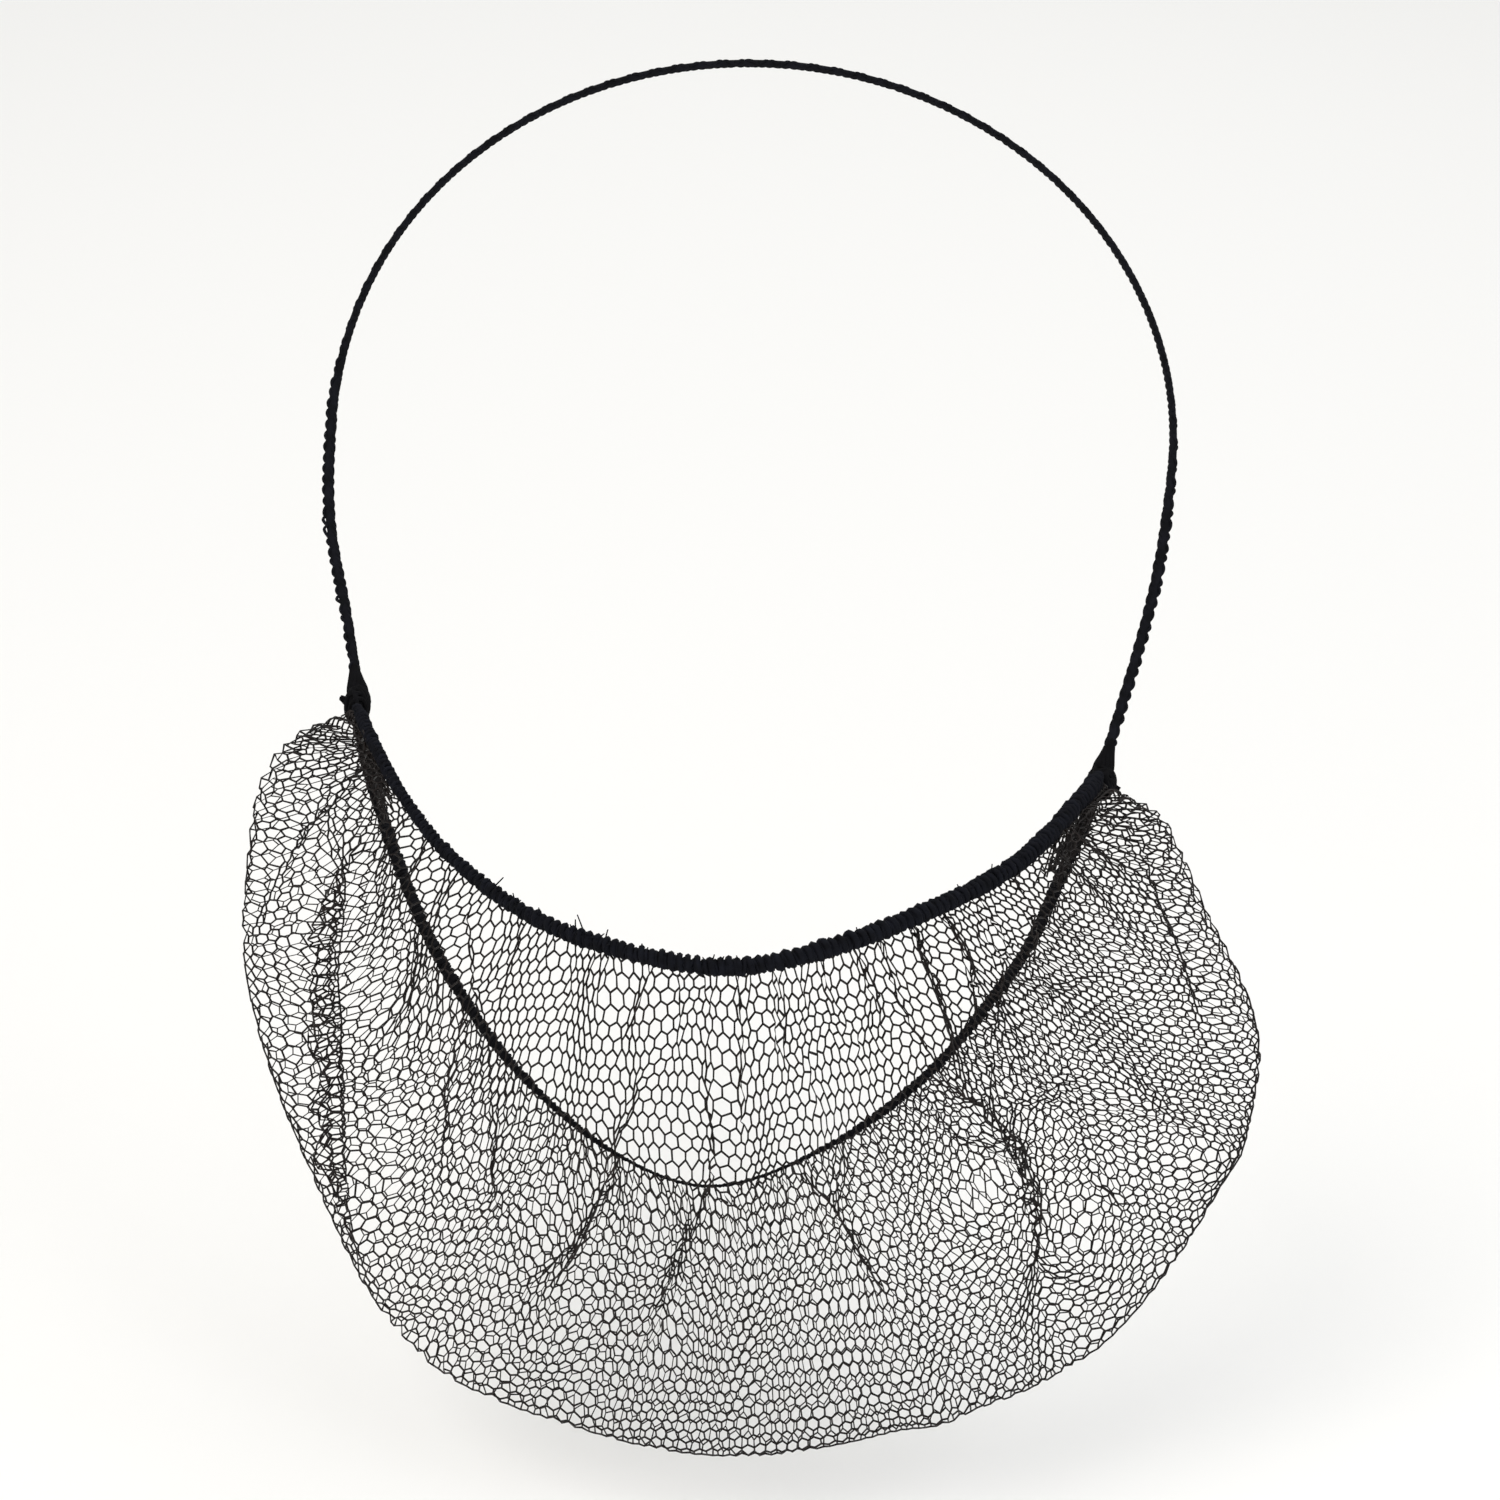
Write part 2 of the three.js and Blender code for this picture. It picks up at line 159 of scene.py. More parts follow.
def makePiece(name, points, quads, triangles=None):
    # a smooth mesh from points in millimetres, four-sided faces and, if any, triangles
    triangles = np.zeros((0, 3), int) if triangles is None else triangles
    mesh = bpy.data.meshes.new(name)
    mesh.vertices.add(len(points))
    mesh.vertices.foreach_set("co", (np.asarray(points) * millimetre).astype(np.float32).ravel())
    corners = np.concatenate([quads.ravel(), triangles.ravel()])
    sizes = np.concatenate([np.full(len(quads), 4), np.full(len(triangles), 3)])
    mesh.loops.add(len(corners))
    mesh.loops.foreach_set("vertex_index", corners.astype(np.int32))
    mesh.polygons.add(len(sizes))
    mesh.polygons.foreach_set("loop_start", (np.cumsum(sizes) - sizes).astype(np.int32))
    mesh.polygons.foreach_set("use_smooth", np.ones(len(sizes), bool))
    mesh.update(calc_edges=True)
    mesh.validate()
    print(f"{name}: {len(quads) * 2 + len(triangles)} triangles")
    return addObject(name, mesh)


def dress(piece, material, slotName, *nodes):
    # the piece gets its material, rides on the one body and stands for its CAD nodes
    piece.data.materials.append(material)
    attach(piece, "root")
    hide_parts(*nodes)


# Materials

def linearColour(hexCode):
    # sRGB hex to the linear colour that the shader takes
    value = np.array([int(hexCode[k:k + 2], 16) for k in (1, 3, 5)]) / 255
    linear = np.where(value <= 0.04045, value / 12.92, ((value + 0.055) / 1.055) ** 2.4)
    return (*linear.tolist(), 1.0)


def addNode(tree, kind, settings=None, links=None):
    # settings go to sockets by name or to the node itself, links come from other nodes' sockets
    node = tree.nodes.new(kind)
    for key, value in (settings or {}).items():
        if hasattr(node, key):
            setattr(node, key, value)
        else:
            node.inputs[key].default_value = value
    for key, socket in (links or {}).items():
        tree.links.new(socket, node.inputs[key])
    return node


def yarnMaterial(name, dark, light, mottle, roughness, fibre, fibreDepth, shine):
    # mottled yarn: colour drifts between two shades over mottle millimetres, and fibres of the given size
    # and depth, drawn coarser than real ones so that they show, break the surface up
    material = bpy.data.materials.new(name)
    material.use_nodes = True
    tree = material.node_tree
    shader = tree.nodes["Principled BSDF"]
    place = addNode(tree, "ShaderNodeTexCoord")
    patches = addNode(tree, "ShaderNodeTexNoise", {"Scale": 1 / (mottle * millimetre), "Detail": 3.0},
                      {"Vector": place.outputs["Object"]})
    ramp = addNode(tree, "ShaderNodeValToRGB", links={"Fac": patches.outputs["Fac"]})
    ramp.color_ramp.elements[0].position = 0.32
    ramp.color_ramp.elements[0].color = linearColour(dark)
    ramp.color_ramp.elements[1].position = 0.72
    ramp.color_ramp.elements[1].color = linearColour(light)
    tree.links.new(ramp.outputs["Color"], shader.inputs["Base Color"])
    fibres = addNode(tree, "ShaderNodeTexNoise", {"Scale": 1 / (fibre * millimetre), "Detail": 2.0},
                     {"Vector": place.outputs["Object"]})
    bump = addNode(tree, "ShaderNodeBump", {"Strength": 0.6, "Distance": fibreDepth * millimetre},
                   {"Height": fibres.outputs["Fac"]})
    tree.links.new(bump.outputs["Normal"], shader.inputs["Normal"])
    shader.inputs["Roughness"].default_value = roughness
    shader.inputs["IOR"].default_value = 1.53  # nylon, and near enough polyester
    shader.inputs["Specular IOR Level"].default_value = shine
    return material


# nylon monofilament yarn, dyed brown-black and heat set: hard thin strands with a faint warm shine
netNylon = yarnMaterial("nylonNetYarn", "#0b0706", "#1c1310", mottle=6.0, roughness=0.6,
                        fibre=0.25, fibreDepth=0.03, shine=0.25)
# textured polyester over rubber, knitted: matt, blue-black, with a soft edge of loose fibres
elasticFinish = {"roughness": 0.85, "fibre": 0.22, "fibreDepth": 0.12, "shine": 0.12}
lipKnit = yarnMaterial("lipElasticYarn", "#05060b", "#10121a", mottle=2.2, **elasticFinish)
jawKnit = yarnMaterial("jawElasticYarn", "#050508", "#111115", mottle=2.0, **elasticFinish)
strapKnit = yarnMaterial("strapElasticYarn", "#050609", "#111219", mottle=2.4, **elasticFinish)
# the same yarns drawn together and tied: darkest, since light hardly gets between them
knotYarn = yarnMaterial("tiedYarn", "#040405", "#0d0d10", mottle=2.5, roughness=0.9,
                        fibre=0.25, fibreDepth=0.14, shine=0.1)


# Net pouch

pouch = {
    # u, lip, fold, jaw, bulge, full: sections from the right knot (-X) to the left one (+X)
    "sections": [
        (-1.0, (-69, 0, 5), (-71, -1, 3.5), (-68.5, 0, 1.5), 0, 1.5),
        (-0.93, (-67, -9, 7.5), (-80, -7.5, 1), (-67, -3.5, -2), 1.5, 3),
        (-0.86, (-64.5, -19, 9), (-85.5, -14, -8.5), (-65, -8, -6), 3, 5),
        (-0.7, (-57, -40, 9), (-85.5, -29, -36), (-58.5, -24, -14), 3, 7),
        (-0.5, (-46.5, -59, 7), (-71.5, -43, -70), (-49, -40, -25), 4, 8),
        (-0.3, (-31, -77, 6), (-50.5, -56, -99), (-34, -56, -37), 8, 9),
        (-0.12, (-14, -88, 6.5), (-16, -65, -108), (-15.5, -66, -47), 11, 10),
        (0.03, (3, -91, 6.5), (12, -66, -110), (2, -70, -50), 12, 10),
        (0.2, (20, -85.5, 8.5), (44, -62, -103), (22, -64, -44), 11, 10),
        (0.36, (36, -73, 9.5), (72, -54, -93), (38, -53, -36), 8, 9),
        (0.55, (49, -56.5, 8.5), (93, -43, -65), (50, -42, -25), 4, 8),
        (0.7, (56.5, -41, 7), (100, -32, -38), (57, -33, -17), 3, 7),
        (0.86, (64, -20, 4), (87, -17.5, -14), (63.5, -19, -7), 3, 5),
        (0.93, (66.8, -10, 1.5), (80.5, -9, -4.5), (66.5, -9, -6), 1.5, 3),
        (1.0, (69, 0, -1), (71.5, -1, -3), (68.5, 0, -5), 0, 1.5),
    ],
    "foldAt": 0.62,  # share of the cut in front of the outer fold
    "clothPerU": 195.0,  # millimetres for one step of u, and of v
    "clothPerV": 165.0,
    "bulgeSideways": 0.5,
    "tightFrom": 0.962,  # from here to the knots the net has no folds, and they grow over this much of u
    "tightReach": 0.22,
    # count from knot to knot, height, reach into the net, sway
    "lipGathers": [(17, 1.9, 20, 0.3), (43, 0.7, 8, 0.45)],
    "jawGathers": [(15, 1.7, 15, 0.4), (37, 0.7, 7, 0.5)],
    "gatherSwayPace": 1.7,
    "gatherAtElastic": 0.25,  # share of a gather's height right at the elastic, and where it is whole
    "gatherWholeAt": 5.0,
    # fromU, fromV, toU, toV, width, height: long folds
    "folds": [
        (-0.09, 0.02, -0.21, 0.5, 5, 2.6),
        (0.05, 0.02, 0.0, 0.45, 5, 2.6),
        (0.26, 0.02, 0.44, 0.5, 6, 3.4),
        (0.36, 0.2, 0.33, 0.6, 5, -3),
        (0.5, 0.2, 0.62, 0.6, 6, 3),
        (0.92, 0.25, 0.62, 0.42, 6, -3),
        (-0.8, 0.05, -0.36, 0.5, 6, 3.4),
        (-0.84, 0.15, -0.74, 0.58, 5, -2.6),
        (-0.22, 0.25, -0.34, 0.6, 6, -3),
        (0.16, 0.28, 0.22, 0.6, 6, 2.6),
        (-0.12, 0.98, -0.16, 0.64, 7, 3),
        (0.28, 0.98, 0.3, 0.64, 7, 3),
        (-0.56, 0.98, -0.52, 0.66, 6, 2.6),
        (0.66, 0.98, 0.62, 0.66, 6, 2.6),
    ],
    "foldGrows": (-0.05, 0.25),  # shares of a fold's line
    "foldFades": (0.7, 1.1),
}
sectionKeys = np.array([row[0] for row in pouch["sections"]])
sectionRows = np.array([[*row[1], *row[2], *row[3], row[4], row[5]] for row in pouch["sections"]], float)


def sectionAt(u):
    # lip, fold and jaw point, bulge and fullness, all in one row
    return throughRows(sectionKeys, sectionRows, u)


def curveOf(points, t):
    # cubic curve with four control points
    s = 1 - t
    return points[0] * s**3 + points[1] * 3 * s * s * t + points[2] * 3 * s * t * t + points[3] * t**3


def levelOutwards(points):
    # level direction from the Z axis out to each point, its sideways part cut so that it turns to the front
    return unit(points * np.array([pouch["bulgeSideways"], 1.0, 0.0]))


def pouchBase(u, v):
    # front curve from lip to fold, rear curve from fold to jaw; the front bulges and both round the fold
    row = sectionAt(u)
    lip, fold, jaw = row[..., 0:3], row[..., 3:6], row[..., 6:9]
    bulge, full = row[..., 9:10], row[..., 10:11]
    v = np.asarray(v, float)[..., None]
    back = np.array([0.0, 1.0, 0.0])
    outwards = levelOutwards(lip)
    front = [lip, lip + (fold - lip) / 3 + outwards * bulge, fold - back * full, fold]
    rear = [fold, fold + back * full, jaw - (jaw - fold) / 3, jaw]
    at = pouch["foldAt"]
    before = curveOf(front, np.clip(v / at, 0, 1))
    after = curveOf(rear, np.clip((v - at) / (1 - at), 0, 1))
    return np.where(v <= at, before, after)


def pouchNormal(u, v, step=1e-3):
    # square to the surface, outwards, from differences between close points
    low, high = np.clip(v - step, 0, 1), np.clip(v + step, 0, 1)
    alongU = pouchBase(u + step, v) - pouchBase(u - step, v)
    alongV = pouchBase(u, high) - pouchBase(u, low)
    return unit(np.cross(alongV, alongU))


def gatherHeight(rows, u, distance):
    # ripples along an elastic that fade out into the net
    height = np.zeros_like(u)
    for count, tall, reach, sway in rows:
        turns = count * (u + 1) / 2
        wave = np.cos(2 * np.pi * (turns + sway * np.sin(pouch["gatherSwayPace"] * turns)))
        low = pouch["gatherAtElastic"]
        grown = low + (1 - low) * smoothStep(0, pouch["gatherWholeAt"], distance)
        height += tall * wave * grown * np.exp(-distance / reach)
    return height


def foldHeight(u, v):
    # long ridges and valleys along straight lines of the cut, fading out at both ends
    height = np.zeros_like(u)
    for fromU, fromV, toU, toV, width, tall in pouch["folds"]:
        lineU, lineV = (toU - fromU) * pouch["clothPerU"], (toV - fromV) * pouch["clothPerV"]
        atU, atV = (u - fromU) * pouch["clothPerU"], (v - fromV) * pouch["clothPerV"]
        length = np.hypot(lineU, lineV)
        share = (atU * lineU + atV * lineV) / length**2
        across = (atU * lineV - atV * lineU) / length
        taper = between(pouch["foldGrows"], pouch["foldFades"], share)
        height += tall * taper * np.exp(-((across / width) ** 2))
    return height


pleats = {
    # the line of each pleat on the cut as u, v, how far it draws the net in, and the width drawn in, in mm;
    # a pleat that draws in more than its width lies folded over itself
    "lines": [
        ([(-0.085, 0.0), (-0.105, 0.05), (-0.125, 0.1)], 2.6, 2.6),
        ([(-0.08, 0.075), (-0.115, 0.165), (-0.13, 0.22), (-0.18, 0.325), (-0.22, 0.37)], 3.0, 2.4),
        ([(0.035, 0.0), (0.035, 0.075), (0.037, 0.16)], 2.6, 2.3),
        ([(-0.01, 0.065), (-0.005, 0.185), (-0.035, 0.24), (-0.07, 0.31), (-0.09, 0.375)], 2.8, 2.3),
        ([(-0.05, 0.0), (-0.04, 0.12)], 1.8, 2.4),
        ([(-0.18, 0.0), (-0.185, 0.065)], 2.2, 2.6),
        ([(-0.155, 0.0), (-0.16, 0.06)], 2.2, 2.6),
        ([(0.095, 0.0), (0.095, 0.07), (0.11, 0.12)], 2.4, 2.7),
        ([(0.165, 0.0), (0.18, 0.085)], 2.4, 2.8),
        ([(0.225, 0.0), (0.24, 0.08)], 3.6, 2.8),
        ([(0.265, 0.0), (0.27, 0.085), (0.28, 0.13), (0.3, 0.15)], 4.0, 2.7),
        ([(0.315, 0.0), (0.315, 0.07), (0.31, 0.125), (0.305, 0.15)], 4.0, 2.7),
        ([(0.375, 0.0), (0.38, 0.065), (0.365, 0.105), (0.32, 0.145)], 3.8, 2.7),
        ([(0.465, 0.0), (0.47, 0.07), (0.415, 0.11), (0.335, 0.145)], 3.4, 2.6),
        ([(0.555, 0.0), (0.525, 0.075), (0.46, 0.115)], 3.0, 2.6),
        ([(0.29, 0.14), (0.335, 0.2), (0.355, 0.245), (0.35, 0.285), (0.345, 0.35), (0.36, 0.415)],
         10.5, 4.8),
        ([(0.27, 0.14), (0.3, 0.152), (0.335, 0.175)], 5.5, 2.8),
        ([(0.365, 0.15), (0.35, 0.165), (0.34, 0.19)], 5.5, 2.8),
        ([(0.38, 0.25), (0.38, 0.275), (0.36, 0.36), (0.37, 0.4)], 3.0, 3.2),
        ([(0.44, 0.33), (0.445, 0.35), (0.465, 0.4)], 2.4, 2.6),
        ([(0.31, 0.155), (0.365, 0.195), (0.455, 0.22), (0.495, 0.265)], 4.0, 4.8),
        ([(0.105, 0.18), (0.14, 0.225), (0.17, 0.29), (0.185, 0.335)], 3.6, 3.2),
        ([(-0.265, 0.185), (-0.26, 0.245), (-0.255, 0.295)], 3.6, 3.0),
        ([(-0.42, 0.02), (-0.365, 0.095), (-0.31, 0.14)], 3.8, 3.0),
        ([(-0.365, 0.11), (-0.35, 0.205), (-0.31, 0.3)], 3.6, 3.2),
        ([(-0.78, 0.03), (-0.765, 0.12), (-0.775, 0.23), (-0.755, 0.31), (-0.745, 0.36)], 4.6, 4.4),
        ([(-0.69, 0.09), (-0.635, 0.195), (-0.585, 0.26), (-0.51, 0.335), (-0.45, 0.42), (-0.355, 0.51)],
         13.0, 6.0),
        ([(-0.635, 0.0), (-0.605, 0.11), (-0.575, 0.17)], 4.2, 4.4),
        ([(-0.115, 1.0), (-0.15, 0.905), (-0.24, 0.75)], 4.0, 5.0),
        ([(0.03, 1.0), (-0.02, 0.935), (-0.09, 0.76)], 3.8, 4.8),
        ([(0.225, 1.0), (0.18, 0.915), (0.2, 0.76)], 3.4, 4.6),
        ([(0.32, 1.0), (0.36, 0.93), (0.44, 0.85)], 4.0, 4.8),
        ([(0.6, 1.0), (0.64, 0.94), (0.74, 0.86)], 3.0, 4.0),
        ([(-0.5, 1.0), (-0.52, 0.93), (-0.5, 0.84)], 3.0, 4.0),
    ],
    # side of the cut, count, shortest, longest, draw: short pleats that start all along an elastic
    "short": [(0.0, 30, 0.04, 0.13, 1.4), (1.0, 26, 0.03, 0.09, 1.4)],
    "shortWidth": 2.5,
    "shortWithin": 0.9,  # u on either side
    "shortLean": 0.02,
    "shortForce": (0.6, 1.25),
    "fadeIn": (-0.02, 0.15),  # shares of a pleat's line; one that starts at an elastic is whole there
    "fadeOut": (0.6, 1.0),
    # how far around it a pleat draws on the net, and how much further for each millimetre that it draws in
    "reach": (3.0, 1.6),
    "rule": 2.5,  # within about this distance the nearest of several pleats rules
    "crumple": 0.13,  # how far the strands inside a pleat are out of place, for each millimetre it draws in
    "crumpleLength": 6.5,
    "waver": 0.9,
    "waverLength": 11.0,
    "ridge": 0.3,  # height of the pleat for each millimetre that it draws in
    "seed": 77,
}


def shortPleats():
    # short straight lines into the cut from evenly spread places on its edges, each a little to one side
    draw = np.random.default_rng(pleats["seed"])
    lines = []
    for edge, count, shortest, longest, pull in pleats["short"]:
        within = pleats["shortWithin"]
        starts = -within + 2 * within * (np.arange(count) + draw.uniform(0.1, 0.9, count)) / count
        reach = draw.uniform(shortest, longest, count) * (1 - 2 * edge)
        lean = draw.normal(0, pleats["shortLean"], count)
        force = pull * draw.uniform(*pleats["shortForce"], count)
        for u, long, aside, strong in zip(starts, reach, lean, force):
            lines.append(([(u, edge), (u + aside, edge + long)], strong, pleats["shortWidth"]))
    return lines


pleatLines = pleats["lines"] + shortPleats()


def pleatPull(u, v):
    # each point is drawn towards the nearest point of a line by draw times tanh(distance / width);
    # where pleats lie close together their pulls are averaged, the nearest and strongest counting most;
    # inside a pleat the strands are crumpled out of place as well
    scale = np.array([pouch["clothPerU"], pouch["clothPerV"]])
    at = np.stack([u, v], -1) * scale
    seed, length = pleats["seed"], pleats["waverLength"]
    sway = np.stack([wander(at[..., 0], at[..., 1], length, seed + k) for k in (1, 2)], -1)
    creases = [wander(at[..., 0], at[..., 1], pleats["crumpleLength"], seed + k) for k in (3, 4, 5)]
    at = (at + pleats["waver"] * sway)[..., None, :]
    pull, weights = np.zeros(u.shape + (2,)), np.full_like(u, 1e-9)
    height, mess = np.zeros_like(u), np.zeros_like(u)
    for points, draw, width in pleatLines:
        line = np.array(points) * scale
        steps = np.diff(line, axis=0)
        lengths = np.hypot(steps[:, 0], steps[:, 1])
        before = np.concatenate([[0], np.cumsum(lengths)[:-1]])
        part = np.clip(((at - line[:-1]) * steps).sum(-1) / lengths**2, 0, 1)
        away = at - line[:-1] - steps * part[..., None]
        far = np.hypot(away[..., 0], away[..., 1])
        nearest = far.argmin(-1)[..., None]
        far = np.take_along_axis(far, nearest, -1)[..., 0]
        away = np.take_along_axis(away, nearest[..., None], -2)[..., 0, :]
        share = np.take_along_axis(before + part * lengths, nearest, -1)[..., 0] / lengths.sum()
        reach = pleats["reach"][0] + pleats["reach"][1] * draw
        strength = draw * (1 - smoothStep(*pleats["fadeOut"], share)) * np.exp(-((far / reach) ** 2))
        if 0 < points[0][1] < 1:
            strength *= smoothStep(*pleats["fadeIn"], share)
        weight = draw * np.exp(-far / pleats["rule"])
        pull -= away * (weight * strength * np.tanh(far / width) / np.maximum(far, 1e-6))[..., None]
        inside = weight * strength * np.exp(-((far / width) ** 2))
        height += pleats["ridge"] * inside
        mess += pleats["crumple"] * inside
        weights += weight
    mess /= weights
    pull = pull / weights[..., None] + mess[..., None] * np.stack(creases[:2], -1)
    return pull, height / weights + mess * creases[2]


net = {
    "cellWidth": 3.2,
    "rowPitch": 2.65,
    "slantRise": 0.95,
    "rowStretch": 0.2,  # rows lie closer by this share at the lip, wider at the jaw
    "strandRise": 0.21,
    "strandDrop": 0.45,  # share of the rise that a strand's under side lies below the middle
    # v, half the thickness of a strand: drawn thinner where the cut is stretched behind the fold
    "halfStrand": [(0.0, 0.19), (0.58, 0.19), (0.68, 0.11), (0.93, 0.11), (1.0, 0.16)],
    "jitter": 0.08,
    # wavelength along and across the rows, distance, seed
    "drift": [(30.0, 30.0, 1.0, 11), (10.0, 26.0, 0.3, 23), (12.0, 12.0, 0.2, 37)],
    # u at the lip, cloth for each millimetre along the rows, the same across the rows, how far the lip edge
    # dips below the ends of the rows, how far the column moves along by the fold, and then by the jaw
    "columns": [
        (-1, 1.4, 2.0, 0, 0, 0), (-0.93, 0.95, 1.75, 2, 0, 0.02), (-0.86, 0.84, 1.5, 5, 0, 0.06),
        (-0.75, 0.84, 1.25, 12, 0, 0.14), (-0.6, 0.94, 1.05, 24, 0, 0.2), (-0.4, 1.05, 0.85, 42, 0, 0.16),
        (-0.25, 1.3, 0.78, 54, 0, 0.12), (0, 1.45, 0.78, 60, 0, 0.05), (0.2, 1.6, 0.82, 60, 0.01, 0),
        (0.26, 2.0, 0.9, 60, 0.03, 0), (0.3, 2.3, 0.95, 60, 0.05, 0), (0.36, 2.3, 1.03, 60, 0.13, 0),
        (0.42, 1.9, 1.05, 60, 0.18, 0), (0.5, 1.15, 1.1, 60, 0.16, 0), (0.6, 0.9, 1.12, 60, 0.13, 0),
        (0.72, 0.84, 1.3, 60, 0.09, 0), (0.86, 0.9, 1.65, 60, 0.04, 0), (0.93, 1.05, 1.9, 60, 0.02, 0),
        (1, 1.4, 2.1, 60, 0, 0),
    ],
    "knotCrowd": 0.9,  # how much closer the rows lie along the elastics near the knots
    "knotCrowdReach": 0.14,
    "knotCrowdFrom": (0.6, 0.78),
    "knotPleat": 6.5,
    "knotPleatHeight": 0.6,
    "knotPleatFrom": (0.72, 0.92),
    "knotPleatTo": (0.95, 1.0),
    "edgeHold": 0.06,  # share of the cut over which the elastics hold folds and pleats down
    "tangle": 0.3,  # how far strands that are drawn close together lie over each other
    "tangleRoom": (0.2, 0.7),  # share of the flat distance at which all of them do, and none
    "netEnd": 0.975,
    "seed": 5,
}
columnKeys, clothAlong, clothAcross, edgeDip, foldMove, jawMove = map(np.array, zip(*net["columns"]))


def columnPlace(lipU, v):
    # u of a column of meshes: where it leaves the lip, moved along on the way to the fold and on to the jaw
    at = pouch["foldAt"]
    way = np.where(v <= at, v / at, (1 - v) / (1 - at))
    onFold = np.interp(lipU, columnKeys, foldMove) * np.sin(np.pi / 2 * way)
    return lipU + onFold + np.interp(lipU, columnKeys, jawMove) * smoothStep(at, 1.0, v)


def rowTable(columns=401):
    # places along a row of the cut, in millimetres from its middle, for even steps of u
    u = np.linspace(-1, 1, columns)
    dense = np.interp(u, columnKeys, clothAlong)
    run = np.concatenate([[0], np.cumsum((dense[1:] + dense[:-1]) / 2)]) * pouch["clothPerU"] * (u[1] - u[0])
    return u, run - np.interp(0, u, run)


def columnTable(columns=161, stations=201, shares=161):
    # for each column, its length from lip to jaw, and v at even distances along it
    u, v = np.meshgrid(np.linspace(-1, 1, columns), np.linspace(0, 1, stations), indexing="ij")
    line = pouchBase(columnPlace(u, v), v)
    run = np.cumsum(np.linalg.norm(np.diff(line, axis=1), axis=-1), axis=1)
    run = np.concatenate([np.zeros((columns, 1)), run], axis=1)
    goal = np.linspace(0, 1, shares)
    return run[:, -1], np.stack([np.interp(goal * r[-1], r, v[0]) for r in run])


rowU, rowFlat = rowTable()
columnLengths, columnStations = columnTable()


def crowded(share, crowd, reach):
    # shares from 0 to 1 drawn towards both ends, where the density falls off as exp(-distance / reach)
    taken = reach * (1 - np.exp(-share / reach) + np.exp((share - 1) / reach) - np.exp(-1 / reach))
    whole = reach * 2 * (1 - np.exp(-1 / reach))
    return (share - crowd * taken) / (1 - crowd * whole)


def onSurface(lipU, flatV):
    # v on the pouch for a row of the cut, and the share of the way from lip to jaw
    columns, shares = columnStations.shape
    column = np.clip((lipU + 1) / 2 * (columns - 1), 0, columns - 1.001)
    i = column.astype(int)
    f = column - i
    whole = ((1 - f) * columnLengths[i] + f * columnLengths[i + 1]) * np.interp(lipU, columnKeys, clothAcross)
    share = (flatV - np.interp(lipU, columnKeys, edgeDip)) / whole
    crowd = net["knotCrowd"] * smoothStep(*net["knotCrowdFrom"], np.abs(lipU))
    held = crowded(np.clip(share, 0, 1), crowd, net["knotCrowdReach"])
    held = held * (1 - net["rowStretch"] * (1 - held))
    step = held * (shares - 1.001)
    k = step.astype(int)
    g = step - k
    near = (1 - f) * columnStations[i, k] + f * columnStations[i + 1, k]
    far = (1 - f) * columnStations[i, k + 1] + f * columnStations[i + 1, k + 1]
    return near * (1 - g) + far * g, share


def netPlace(flatU, flatV):
    # a point of the flat cut on the worn pouch: wrapped on, drawn into the folds, then raised by them
    lipU = np.interp(flatU, rowFlat, rowU)
    v, share = onSurface(lipU, flatV)
    u = columnPlace(lipU, v)
    pull, height = pleatPull(u, v)
    height += foldHeight(u, v)
    loose = smoothStep(0, pouch["tightReach"], pouch["tightFrom"] - np.abs(u))
    inNet = smoothStep(0, net["edgeHold"], v) * smoothStep(0, net["edgeHold"], 1 - v)
    height += gatherHeight(pouch["lipGathers"], u, v * pouch["clothPerV"])
    height += gatherHeight(pouch["jawGathers"], u, (1 - v) * pouch["clothPerV"])
    nearKnot = between(net["knotPleatFrom"], net["knotPleatTo"], np.abs(u))
    ripple = net["knotPleatHeight"] * np.cos(2 * np.pi * flatV / net["knotPleat"]) * nearKnot
    movedU = np.clip(u + pull[..., 0] * loose / pouch["clothPerU"], -1, 1)
    movedV = np.clip(v + pull[..., 1] * loose * inNet / pouch["clothPerV"], 0, 1)
    raised = (height * loose + ripple) * inNet
    return pouchBase(movedU, movedV) + pouchNormal(movedU, movedV) * raised[..., None], share, movedV


